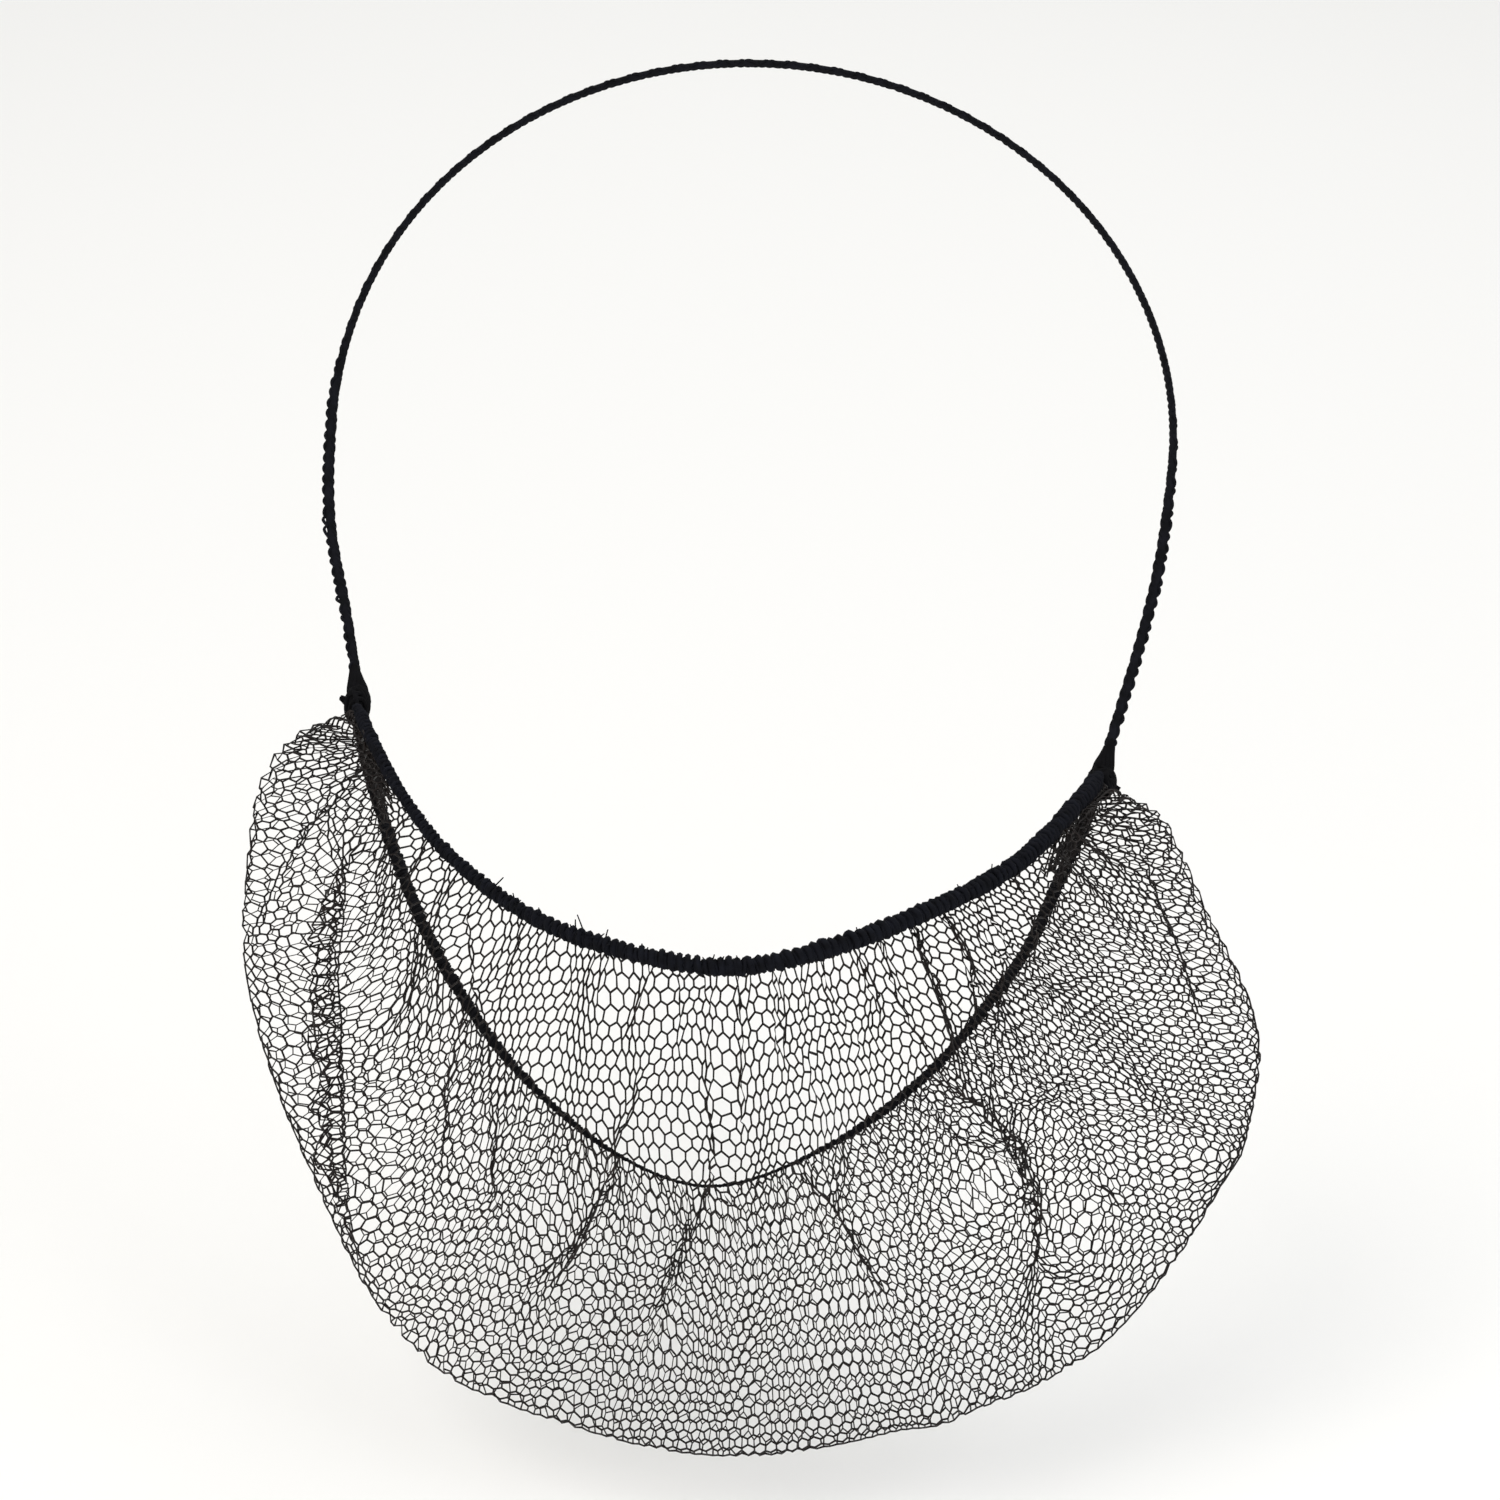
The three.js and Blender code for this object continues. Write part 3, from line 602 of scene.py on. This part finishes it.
def netLattice():
    # rows of zigzag strands joined by upright ones: every node has a left, a right and an upright strand
    half = int(rowFlat[-1] / net["cellWidth"] * 2)
    rows = int((np.max(columnLengths) + np.max(edgeDip)) / net["rowPitch"])
    spare = 2
    i, j = np.meshgrid(np.arange(-half, half + 1), np.arange(-spare, rows + spare + 1), indexing="ij")
    even = (i + j) % 2 == 0
    flatU = i * net["cellWidth"] / 2
    flatV = j * net["rowPitch"] + np.where(even, 0.5, -0.5) * net["slantRise"]
    draw = np.random.default_rng(net["seed"])
    uneven = draw.normal(0, net["jitter"], (2, *i.shape))
    driftU, driftV = np.zeros(i.shape), np.zeros(i.shape)
    for lengthU, lengthV, distance, seed in net["drift"]:
        driftU += distance * wander(flatU / lengthU, flatV / lengthV, 1.0, seed)
        driftV += distance * wander(flatU / lengthU, flatV / lengthV, 1.0, seed + 100)
    flatU, flatV = flatU + driftU + uneven[0], flatV + driftV + uneven[1]
    points, share, v = netPlace(flatU, flatV)
    step = 0.3  # millimetres to either side, for the slopes
    alongU = netPlace(flatU + step, flatV)[0] - netPlace(flatU - step, flatV)[0]
    alongV = netPlace(flatU, flatV + step)[0] - netPlace(flatU, flatV - step)[0]
    normal = unit(np.cross(alongV, alongU))
    room = np.linalg.norm(alongU, axis=-1) / (2 * step)
    tangled = net["tangle"] * (1 - smoothStep(*net["tangleRoom"], room)) * draw.normal(0, 1, (2, *i.shape))
    points = points + unit(alongU) * tangled[0][..., None] + normal * tangled[1][..., None]
    inside = (share > 0) & (share < 1) & (np.abs(np.interp(flatU, rowFlat, rowU)) < net["netEnd"])
    thick = np.interp(v, *zip(*net["halfStrand"]))[..., None]
    return points, normal, inside, even, thick


def insetCorner(first, second, third, halfWidth):
    # where the edges of two strands meet, beside the node and away from the third strand;
    # between strands that nearly touch the corner stays within two half widths
    wide = np.sqrt(np.clip((1 - dot(first, second)) / 2, 0, 1))
    return unit(first + second - third) * halfWidth / np.maximum(wide, 0.5)


def movedOn(grid, axis):
    # the grid moved on by one place along an axis, with zeros at the start
    moved = np.roll(grid, 1, axis)
    moved.swapaxes(0, axis)[0] = 0
    return moved


def netMesh():
    # three-sided strands welded at the nodes: a ridge on top and a corner in each mesh beside the node
    points, normal, inside, even, thick = netLattice()
    toRight, upright = np.zeros(even.shape, bool), np.zeros(even.shape, bool)
    toRight[:-1] = inside[:-1] | inside[1:]
    upright[:, :-1] = (inside[:, :-1] | inside[:, 1:]) & even[:, :-1]
    toLeft = movedOn(toRight, 0)
    hasUpright = upright | movedOn(upright, 1)
    used = toRight | toLeft | hasUpright

    right, rise = np.zeros_like(points), np.zeros_like(points)
    right[:-1] = unit(points[1:] - points[:-1])
    rise[:, :-1] = unit(points[:, 1:] - points[:, :-1])
    left, fall = -movedOn(right, 0), -movedOn(rise, 1)
    third = np.where(even[..., None], rise, fall)

    ridge = points + normal * net["strandRise"]
    low = points - normal * net["strandRise"] * net["strandDrop"]
    corners = np.stack([
        ridge,
        low + insetCorner(left, right, third, thick),
        low + insetCorner(right, third, left, thick),
        low + insetCorner(left, third, right, thick),
    ], axis=2)
    number = np.full(even.shape, -1)
    number[used] = np.arange(used.sum())
    top, single, byRight, byLeft = (number * 4 + k for k in range(4))

    # corners on the upper and lower side of the strand to the right and of the strand to the left
    upperRight, lowerRight = np.where(even, byRight, single), np.where(even, single, byRight)
    upperLeft, lowerLeft = np.where(even, byLeft, single), np.where(even, single, byLeft)

    def strands(keep, a, b):
        # a and b give top, left and right corner at the two ends of each strand
        return [np.stack(face, -1)[keep] for face in (
            (a[0], b[0], b[1], a[1]), (a[2], b[2], b[0], a[0]), (a[1], b[1], b[2], a[2]))]

    quads = strands(toRight[:-1], [x[:-1] for x in (top, lowerRight, upperRight)],
                    [x[1:] for x in (top, lowerLeft, upperLeft)])
    quads += strands(upright[:, :-1], [x[:, :-1] for x in (top, byRight, byLeft)],
                     [x[:, 1:] for x in (top, byRight, byLeft)])
    ends = [np.stack(face, -1)[used & keep] for keep, face in (
        (~toRight, (top, upperRight, lowerRight)),
        (~toLeft, (top, lowerLeft, upperLeft)),
        (~hasUpright & even, (top, byLeft, byRight)),
        (~hasUpright & ~even, (top, byRight, byLeft)),
        # the under side of each node, between its three corners
        (even, (single, byRight, byLeft)),
        (~even, (single, byLeft, byRight)),
    )]
    return corners[used].reshape(-1, 3), np.concatenate(quads), np.concatenate(ends)


# the knots' settings, which the ends of the net and of the strap need too
knots = {
    # right is the one at -X, left the one at +X
    "right": {"centre": (-68.8, 2.2, 4.2), "radii": (2.3, 4.6, 3.6),
              "tail": (-3.2, 0.4, 1.0), "foot": 1.6, "seed": 3},
    "left": {"centre": (69.9, 2.4, -3.3), "radii": (2.6, 4.0, 3.1),
             "tail": (3.3, -0.6, -1.1), "foot": 1.7, "seed": 8},
    "yarn": 0.48,
    # share of the radii, swell of the lump under the windings, angle cut off at its poles
    "lump": (0.86, 0.05, 0.06),
    "lumpGrid": (14, 20),
    "windings": 14,
    "windingLean": 0.4,
    "windingSpread": 0.85,
    "windingThick": (0.7, 1.1),
    "windingPoints": 36,
    "tailYarns": 6,
    "tailYarn": (0.5, 0.3),  # thickness, share lost towards the tip
    "tailTwist": 3.5,
    "tailSpread": (0.7, 0.2),  # share of the foot's radius, distance left at the tip
    "tailReach": (0.85, 1.05),
    # distance from the knot's centre along the strap, radius: yarns that lie along the end of the strap
    "collar": [(1.8, 2.1), (3.2, 2.0), (5.0, 1.5), (7.0, 1.0), (8.5, 0.55)],
    "collarYarns": 14,
    "collarTwist": 0.12,  # radians a millimetre
}
gatheredEnds = {
    # sign of u, u where the yarns end by the lip, u where they end by the jaw
    "sides": [(-1, 0.7, 0.84), (1, 0.69, 0.84)],
    "count": 44,
    "fromU": 1.0,
    "points": 17,
    "nearest": 0.04,  # share of the gap left free below the lip
    "uneven": 0.035,
    "intoKnot": (0.8, 0.14),  # how nearly a yarn ends in the knot's middle, share of it that closes in
    "yarn": 0.17,
    "waver": 0.16,
    "waverLength": 0.03,
    "lift": 0.7,
    "seed": 21,
}


def gatheredYarns():
    # the net's ends drawn together between the two elastics: yarns from each knot that waver across the gap
    draw = np.random.default_rng(gatheredEnds["seed"])
    first, length = gatheredEnds["fromU"], gatheredEnds["waverLength"]
    nearly, closing = gatheredEnds["intoKnot"]
    parts = []
    for knot, (side, byLip, byJaw) in zip((knots["right"], knots["left"]), gatheredEnds["sides"]):
        many = (gatheredEnds["count"], 1)
        across = draw.uniform(gatheredEnds["nearest"], 1.0, many)
        last = byLip + (byJaw - byLip) * across + draw.normal(0, gatheredEnds["uneven"], many)
        step = np.linspace(0, 1, gatheredEnds["points"])
        u = first + (last - first) * step
        across = across + gatheredEnds["waver"] * wander(u, across * 3, length, side + 30)
        rows = sectionAt(side * u)
        lip, jaw = rows[..., 0:3], rows[..., 6:9]
        outwards = levelOutwards(lip)
        lift = gatheredEnds["lift"] * (1 + wander(u, across * 5, length, side + 40))
        paths = lip + (jaw - lip) * across[..., None] + outwards * lift[..., None]
        tied = nearly * np.clip(1 - step / closing, 0, 1)[:, None]
        paths += (np.array(knot["centre"]) - paths) * tied
        parts.append(yarnTubes(paths, outwards, gatheredEnds["yarn"], 4))
    return parts


def wholeNet():
    # the lattice and the gathered yarns as one mesh
    points, quads, triangles = netMesh()
    allPoints, allQuads = joined([(points, quads)] + gatheredYarns())
    return allPoints, allQuads, triangles


beardNet = makePiece("beard_net_mesh", *wholeNet())
dress(beardNet, netNylon, "net", "net_pouch")


# Lip and jaw elastics

def elasticLine(columns, count):
    # the line that the section table gives for one elastic, at even distances
    line, run = evenPath(sectionAt(np.linspace(-1, 1, 600))[:, columns], count)
    outwards = levelOutwards(line)
    along = unit(np.gradient(line, axis=0))
    face = unit(outwards - along * dot(outwards, along))
    return line, run, face, np.cross(along, face)


# how uneven the wound yarns are, each with its wavelength in turns, and the core with its wavelength in mm
wrapping = {
    "turn": (1.3, 4),
    "radius": (0.13, 2.3),
    "bump": (0.6, 1.6),
    "core": (0.06, 7.0),
}


def wrapYarn(course, radius, pitch, wrap, seed):
    # a yarn wound round the line: an uneven helix, further out where its upper edge bumps up
    line, run, face, side = course
    centre, yarn, turn, start, bump = wrap

    def uneven(name, seedStep):
        share, turns = wrapping[name]
        return share * wanderAlong(run, turns * pitch, seed + seedStep)

    angle = turn * 2 * np.pi * run / pitch + start + uneven("turn", 0)
    out = face * np.cos(angle)[:, None] + side * np.sin(angle)[:, None]
    upper = np.clip(out[:, 2], 0, 1) ** 2
    grown = centre * radius * (1 + uneven("radius", 1))
    grown = grown + bump * radius * upper * (1 + uneven("bump", 2))
    return yarnTubes((line + out * grown[:, None])[None], out[None], (yarn * radius)[None], 6)


def knittedElastic(settings):
    # a round core under wound yarns that cross each other, as shares of a radius that changes along the line
    course = elasticLine(settings["columns"], settings["points"])
    line, run, face, side = course
    keys, radii = zip(*settings["radius"])
    radius = np.interp(run / run[-1] * 2 - 1, keys, radii)
    share, length = wrapping["core"]
    radius = radius * (1 + share * wanderAlong(run, length, settings["seed"]))
    parts = [yarnTubes(line[None], face[None], (settings["core"] * radius)[None], 8)]
    for k, wrap in enumerate(settings["wraps"]):
        parts.append(wrapYarn(course, radius, settings["pitch"], wrap, settings["seed"] + 10 * k))
    return parts


lipElastic = {
    "columns": slice(0, 3),  # the lip's place in the section rows
    "points": 1430,  # along the line, between nine and ten for each turn of a yarn
    "pitch": 1.65,
    # place from knot to knot, -1 to 1, radius
    "radius": [(-1.0, 0.9), (-0.93, 1.2), (-0.6, 1.1), (-0.3, 1.35), (0.0, 1.6), (0.8, 1.55),
               (0.93, 1.7), (1.0, 1.1)],
    "core": 0.66,
    # centre and thickness as shares of the radius, turn, start, bump of the upper edge
    "wraps": [(0.66, 0.37, 1, 0.0, 0.24), (0.62, 0.27, 1, np.pi, 0.0), (0.74, 0.2, -1, 0.6, 0.0)],
    "seed": 41,
}
jawElastic = {
    "columns": slice(6, 9),
    "points": 1430,
    "pitch": 1.5,
    "radius": [(-1.0, 0.9), (-0.9, 1.35), (-0.5, 1.25), (-0.25, 0.75), (-0.1, 0.36), (0.12, 0.36),
               (0.3, 0.95), (0.6, 1.2), (0.9, 1.3), (1.0, 0.9)],
    "core": 0.66,
    "wraps": [(0.66, 0.36, 1, 0.3, 0.12), (0.64, 0.28, 1, 3.4, 0.0), (0.74, 0.2, -1, 1.1, 0.0)],
    "seed": 71,
}
whiskers = {
    # fromU, toU, count, length: cut ends of net yarn that stand out of the lip elastic
    "groups": [(-0.4, -0.14, 20, 2.2), (0.34, 0.62, 16, 1.3), (-0.9, 0.9, 36, 0.9), (-0.95, 0.95, 220, 0.45)],
    "foot": 0.9,
    "longer": (0.5, 1.15),  # shares of the length
    "outwards": 0.35,
    "lean": 0.35,
    "curl": 0.3,
    "yarn": 0.19,
    "tipLoss": 0.45,  # share of the thickness
    "seed": 9,
}


def whiskerYarns():
    # short curved yarns that leave the elastic upwards and outwards, thinner towards the tip
    draw = np.random.default_rng(whiskers["seed"])
    parts = []
    for fromU, toU, count, length in whiskers["groups"]:
        u = np.sort(draw.uniform(fromU, toU, count))
        foot = sectionAt(u)[:, lipElastic["columns"]]
        outwards = levelOutwards(foot)
        lean = draw.normal(0, whiskers["lean"], (count, 3))
        rise = unit(np.array([0.0, 0.0, 1.0]) + whiskers["outwards"] * outwards + lean)
        long = (whiskers["foot"] + length * draw.uniform(*whiskers["longer"], count))[:, None, None]
        t = np.linspace(0, 1, 6)[None, :, None]
        curl = draw.normal(0, whiskers["curl"], (count, 1, 3))
        paths = foot[:, None] + long * (rise[:, None] * t + curl * t * t)
        thick = whiskers["yarn"] * (1 - whiskers["tipLoss"] * t[..., 0])
        parts.append(yarnTubes(paths, np.broadcast_to(outwards[:, None], paths.shape), thick, 4))
    return parts


lipPiece = makePiece("lip_elastic_knit", *joined(knittedElastic(lipElastic) + whiskerYarns()))
dress(lipPiece, lipKnit, "lip_elastic", "lip_elastic")
jawPiece = makePiece("jaw_elastic_knit", *joined(knittedElastic(jawElastic)))
dress(jawPiece, jawKnit, "jaw_elastic", "jaw_elastic")


# Head strap

strap = {
    "tilt": np.radians(45),
    "shift": 1.8,  # towards +X
    "halfWidth": 79.8,
    "sideRun": 66.0,
    "backRun": 76.0,
    "settle": 45.0,  # length at each end over which the strap comes down to its knot
    # right, left: half the span at the knot, how the side spreads from there, how far it bows out
    "sides": [(68.4, 1.25, 2.5), (69.5, 1.6, 0.0)],
    "bowAt": 42.0,
    "bowReach": 20.5,
    # share of the length, degrees of turn
    "turns": [(0.0, -55), (0.04, -50), (0.075, -80), (0.1, -60), (0.125, -90), (0.165, -60), (0.22, -12),
              (0.5, 0), (0.78, 0), (0.85, -45), (0.89, -85), (0.925, -80), (0.955, -75), (1.0, -65)],
    "stitch": 2.2,
    "perStitch": 10,
    "cordAside": -0.38,  # the twisted cord's place across the tape
    "cordYarn": 0.42,
    "cordTwist": 0.36,
    "cordUneven": (0.4, 9.0),  # radians, wavelength
    # from, to across the tape, yarn: loops of the two edges
    "edges": [(0.1, 0.94, 0.31), (-0.75, -1.1, 0.22)],
    "loopLag": 0.8,  # radians from one edge to the other
    "loopUneven": (0.35, 6.0),
    "loopRound": 0.7,
    "loopHeight": (0.9, 0.14, 5.0),  # share, unevenness, wavelength
    "loopOver": 0.3,
    # share of the length, height: loops that are pulled out of the edge
    "snags": [(0.104, 0.8), (0.111, 0.5), (0.062, 0.4), (0.036, 0.5), (0.9, 0.3), (0.62, 0.4)],
    # from, to across the tape, thickness: the close-knitted body under the cord and loops
    "body": (-1.0, 0.72, 1.3),
    "bodySides": 8,
    "bodyEvery": 4,  # the body takes each fourth point of the line
    "seed": 15,
}


def strapLine(share):
    # up one side, round the back and down the other, with the ends settled onto the knots
    backLength = np.pi / 2 * (strap["halfWidth"] + strap["backRun"])
    whole = 2 * strap["sideRun"] + backLength
    run = share * whole
    onLeft = run >= whole / 2
    fromEnd = np.where(onLeft, whole - run, run)
    span, spread, bow = (np.where(onLeft, left, right) for right, left in zip(*strap["sides"]))
    inwards = np.clip(1 - fromEnd / strap["sideRun"], 0, 1) ** spread
    angle = np.clip((fromEnd - strap["sideRun"]) / backLength, 0, 1) * np.pi
    bySide = fromEnd < strap["sideRun"]
    across = strap["halfWidth"] - (strap["halfWidth"] - span) * inwards
    across = np.where(bySide, across, strap["halfWidth"] * np.cos(angle))
    across = across + bow * np.exp(-(((fromEnd - strap["bowAt"]) / strap["bowReach"]) ** 2))
    up = np.where(bySide, fromEnd, strap["sideRun"] + strap["backRun"] * np.sin(angle))
    settled = 1 - smoothStep(0, strap["settle"], fromEnd)
    knotY, knotZ = (np.where(onLeft, knots["left"]["centre"][k], knots["right"]["centre"][k]) for k in (1, 2))
    return np.stack([
        np.where(onLeft, across, -across) + strap["shift"] * (1 - settled),
        up * np.cos(strap["tilt"]) + knotY * settled,
        up * np.sin(strap["tilt"]) + knotZ * settled,
    ], -1), whole


def strapBody(line, flat, thick):
    # an oval band along the line: the tube of a yarn, stretched across the tape
    low, high, deep = strap["body"]
    middle, sides = line + flat * (low + high) / 2, strap["bodySides"]
    points, quads = yarnTubes(middle[None], thick[None], deep / 2, sides)
    across = np.repeat(flat, sides, axis=0)
    out = dot(points - np.repeat(middle, sides, axis=0), across)
    return points + across * out * ((high - low) / deep - 1), quads


def strapKnitting():
    # on the oval body a cord of three twisted yarns, and a looped yarn along each edge,
    # from the cord out and back at every stitch
    whole = strapLine(np.zeros(1))[1]
    stitches = int(whole / strap["stitch"])
    share = np.linspace(0, 1, stitches * strap["perStitch"])
    line = strapLine(share)[0]
    along = unit(np.gradient(line, axis=0))
    plane = np.array([0, -np.sin(strap["tilt"]), np.cos(strap["tilt"])])
    flat = unit(plane - along * dot(along, plane))
    thick = np.cross(along, flat)
    turnKeys, turnAngles = (np.array(column) for column in zip(*strap["turns"]))
    turn = np.radians(throughRows(turnKeys, turnAngles[:, None], share))
    flat, thick = flat * np.cos(turn) + thick * np.sin(turn), thick * np.cos(turn) - flat * np.sin(turn)
    run = share * whole
    phase = 2 * np.pi * share * stitches
    parts = [strapBody(*(each[::strap["bodyEvery"]] for each in (line, flat, thick)))]
    seed = strap["seed"]
    uneven, length = strap["cordUneven"]
    for k in range(3):
        swing = phase / 2 + 2 * np.pi * k / 3 + uneven * wanderAlong(run, length, seed + k)
        sideways = strap["cordAside"] + strap["cordTwist"] * np.sin(swing)
        over = strap["cordTwist"] * np.cos(swing)
        path = line + flat * sideways[:, None] + thick * over[:, None]
        parts.append(yarnTubes(path[None], thick[None], strap["cordYarn"], 6))
    uneven, length = strap["loopUneven"]
    tall, tallUneven, tallLength = strap["loopHeight"]
    for k, (near, far, yarn) in enumerate(strap["edges"]):
        swing = phase / 2 + strap["loopLag"] * k + uneven * wanderAlong(run, length, seed + 10 + k)
        reach = tall + tallUneven * wanderAlong(run, tallLength, seed + 20 + k)
        out = np.abs(np.sin(swing)) ** strap["loopRound"] * reach
        if k == 0:
            out += sum(high * np.exp(-(((share - at) * whole) ** 2)) for at, high in strap["snags"])
        over = strap["loopOver"] * np.cos(swing)
        path = line + flat * (near + (far - near) * out)[:, None] + thick * over[:, None]
        parts.append(yarnTubes(path[None], thick[None], yarn, 6))
    return parts


strapPiece = makePiece("head_strap_knit", *joined(strapKnitting()))
dress(strapPiece, strapKnit, "head_strap", "head_strap")


# Ear knots

def knotLump(knot):
    # an ellipsoid under the windings, made lumpy by a wave round and along it
    size, swell, pole = knots["lump"]
    rings, sides = knots["lumpGrid"]
    a, b = np.meshgrid(np.linspace(pole, np.pi - pole, rings), roundAngles(sides), indexing="ij")
    ball = np.stack([np.sin(a) * np.cos(b), np.sin(a) * np.sin(b), np.cos(a)], -1)
    lumpy = size + swell * np.sin(3 * b + 5 * a)
    points = np.array(knot["centre"]) + ball * lumpy[..., None] * np.array(knot["radii"])
    index = np.arange(a.size).reshape(a.shape)
    turned = np.roll(index, -1, axis=1)
    walls = np.stack([index[:-1], index[1:], turned[1:], turned[:-1]], -1).reshape(-1, 4)
    k = np.arange(1, sides - 1, 2)
    caps = np.concatenate([
        np.stack([index[0, k * 0], index[0, k], index[0, k + 1], index[0, k + 2]], -1),
        np.stack([index[-1, k + 2], index[-1, k + 1], index[-1, k], index[-1, k * 0]], -1),
    ])
    return points.reshape(-1, 3), np.concatenate([walls, caps])


def knotWindings(knot):
    # closed turns of yarn on the lump, each a circle of the ellipsoid leaning its own way
    draw = np.random.default_rng(knot["seed"])
    count, points = knots["windings"], knots["windingPoints"]
    axis = unit(np.array([0.0, 1.0, 0.0]) + draw.normal(0, knots["windingLean"], (count, 3)))
    helper = unit(draw.normal(0, 1, (count, 3)))
    first = unit(np.cross(axis, helper))
    second = np.cross(axis, first)
    lift = np.linspace(-knots["windingSpread"], knots["windingSpread"], count)[:, None, None]
    angle = roundAngles(points)[None, :, None]
    circle = first[:, None] * np.cos(angle) + second[:, None] * np.sin(angle)
    ball = axis[:, None] * lift + np.sqrt(1 - lift**2) * circle
    radii = np.array(knot["radii"]) - knots["yarn"] * 0.5
    paths = np.array(knot["centre"]) + ball * radii
    thick = knots["yarn"] * draw.uniform(*knots["windingThick"], (count, 1))
    return yarnTubes(paths, ball, thick, 6, closed=True)


def knotCollar(end):
    # yarns that close in along the end of the strap, away from the knot
    away, radius = (np.array(column) for column in zip(*knots["collar"]))
    step = np.linspace(away[0], away[-1], 12)
    share = np.abs(end - step / strapLine(np.zeros(1))[1])
    centre = strapLine(share)[0]
    along = unit(strapLine(share + 1e-3)[0] - strapLine(share - 1e-3)[0])
    first = unit(np.cross(along, [0.0, 0.6, -0.8]))
    second = np.cross(along, first)
    angle = roundAngles(knots["collarYarns"])[:, None] + knots["collarTwist"] * step
    out = first * np.cos(angle)[..., None] + second * np.sin(angle)[..., None]
    wide = np.interp(step, away, radius) - knots["yarn"]
    return yarnTubes(centre + out * wide[:, None], out, knots["yarn"], 6)


def knotTail(knot):
    # a short bundle of twisted yarns that leaves the knot and comes to a point
    draw = np.random.default_rng(knot["seed"] + 50)
    count = knots["tailYarns"]
    t = np.linspace(0, 1, 16)[None, :, None]
    goal = np.array(knot["tail"])
    helper = unit(np.cross(goal, [0.3, 0.5, 0.8]))
    other = unit(np.cross(goal, helper))
    angle = roundAngles(count)[:, None, None] + knots["tailTwist"] * t
    byFoot, byTip = knots["tailSpread"]
    spread = byFoot * knot["foot"] * (1 - t) + byTip
    out = helper * np.cos(angle) + other * np.sin(angle)
    reach = draw.uniform(*knots["tailReach"], (count, 1, 1))
    paths = np.array(knot["centre"]) + goal * t * reach + out * spread
    thick, tipLoss = knots["tailYarn"]
    return yarnTubes(paths, out, thick * (1 - tipLoss * t[..., 0]), 6)


for end, sideName in enumerate(("right", "left")):
    knot = knots[sideName]
    lots = [knotLump(knot), knotWindings(knot), knotTail(knot), knotCollar(end)]
    knotPiece = makePiece(f"ear_knot_{sideName}_yarn", *joined(lots))
    dress(knotPiece, knotYarn, "knot", f"ear_knot_{sideName}")

# Floor, light and camera

stage = {
    "floorDrop": 0.02,
    "floorSize": 6.0,
    "floorColour": "#f3f3f1",
    # name, place in metres, size, watts, colour
    "lights": [
        ("keyLight", (-0.7, -0.9, 1.1), 0.9, 12.5, "#fffaf4"),
        ("fillLight", (0.9, -0.7, 0.8), 1.1, 7, "#f6f9ff"),
        ("backLight", (0.1, 1.0, 1.2), 1.2, 8, "#ffffff"),
    ],
    "worldColour": "#ffffff",
    "worldStrength": 0.5,
}


def makeFloor():
    half = stage["floorSize"] / 2
    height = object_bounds()[0].z - stage["floorDrop"]
    corners = [(half * x, half * y, height) for x, y in ((-1, -1), (1, -1), (1, 1), (-1, 1))]
    mesh = bpy.data.meshes.new("floor")
    mesh.from_pydata(corners, [], [(0, 1, 2, 3)])
    floor = addObject("floor", mesh)
    # matt painted board: even, pale and without shine
    paint = bpy.data.materials.new("mattPaintedBoard")
    paint.use_nodes = True
    shader = paint.node_tree.nodes["Principled BSDF"]
    shader.inputs["Base Color"].default_value = linearColour(stage["floorColour"])
    shader.inputs["Roughness"].default_value = 0.9
    mesh.materials.append(paint)


def facing(back, up, place):
    # a frame whose Z axis points back, with its Y axis as near up as can be
    side = unit(np.cross(up, back))
    return Matrix(np.vstack([np.stack([side, np.cross(back, side), back, place], -1), [0, 0, 0, 1]]).tolist())


def makeLights():
    for name, place, size, watts, colour in stage["lights"]:
        lamp = bpy.data.lights.new(name, "AREA")
        lamp.shape = "DISK"
        lamp.size = size
        lamp.energy = watts
        lamp.color = linearColour(colour)[:3]
        back = unit(np.array(place))
        addObject(name, lamp).matrix_world = facing(back, np.array([0.0, 0.0, 1.0]), place)
    world = bpy.data.worlds.new("studio")
    world.use_nodes = True
    ground = world.node_tree.nodes["Background"]
    ground.inputs["Color"].default_value = linearColour(stage["worldColour"])
    ground.inputs["Strength"].default_value = stage["worldStrength"]
    bpy.context.scene.world = world


camera = {
    "distance": 0.75,
    "elevation": np.radians(27),
    "roll": np.radians(3.2),
    "lens": 97.2,
    "sensor": 36.0,
    "frame": 1500,
    "originPixel": (727, 751),  # where the origin, midway between the knots, is in the frame
}


def makeCamera():
    back = np.array([0.0, -np.cos(camera["elevation"]), np.sin(camera["elevation"])])
    up = np.array([0.0, np.sin(camera["elevation"]), np.cos(camera["elevation"])])
    leaning = up * np.cos(camera["roll"]) - np.array([1.0, 0, 0]) * np.sin(camera["roll"])
    data = bpy.data.cameras.new("studioCamera")
    data.lens, data.sensor_width = camera["lens"], camera["sensor"]
    centre = camera["frame"] / 2
    data.shift_x = (centre - camera["originPixel"][0]) / camera["frame"]
    data.shift_y = (camera["originPixel"][1] - centre) / camera["frame"]
    data.clip_start, data.clip_end = 0.01, 20
    view = addObject("studioCamera", data)
    view.matrix_world = facing(back, leaning, back * camera["distance"])
    bpy.context.scene.camera = view


makeFloor()
makeLights()
makeCamera()
bpy.context.scene.view_settings.view_transform = "Standard"
print("floor, lights and camera set")
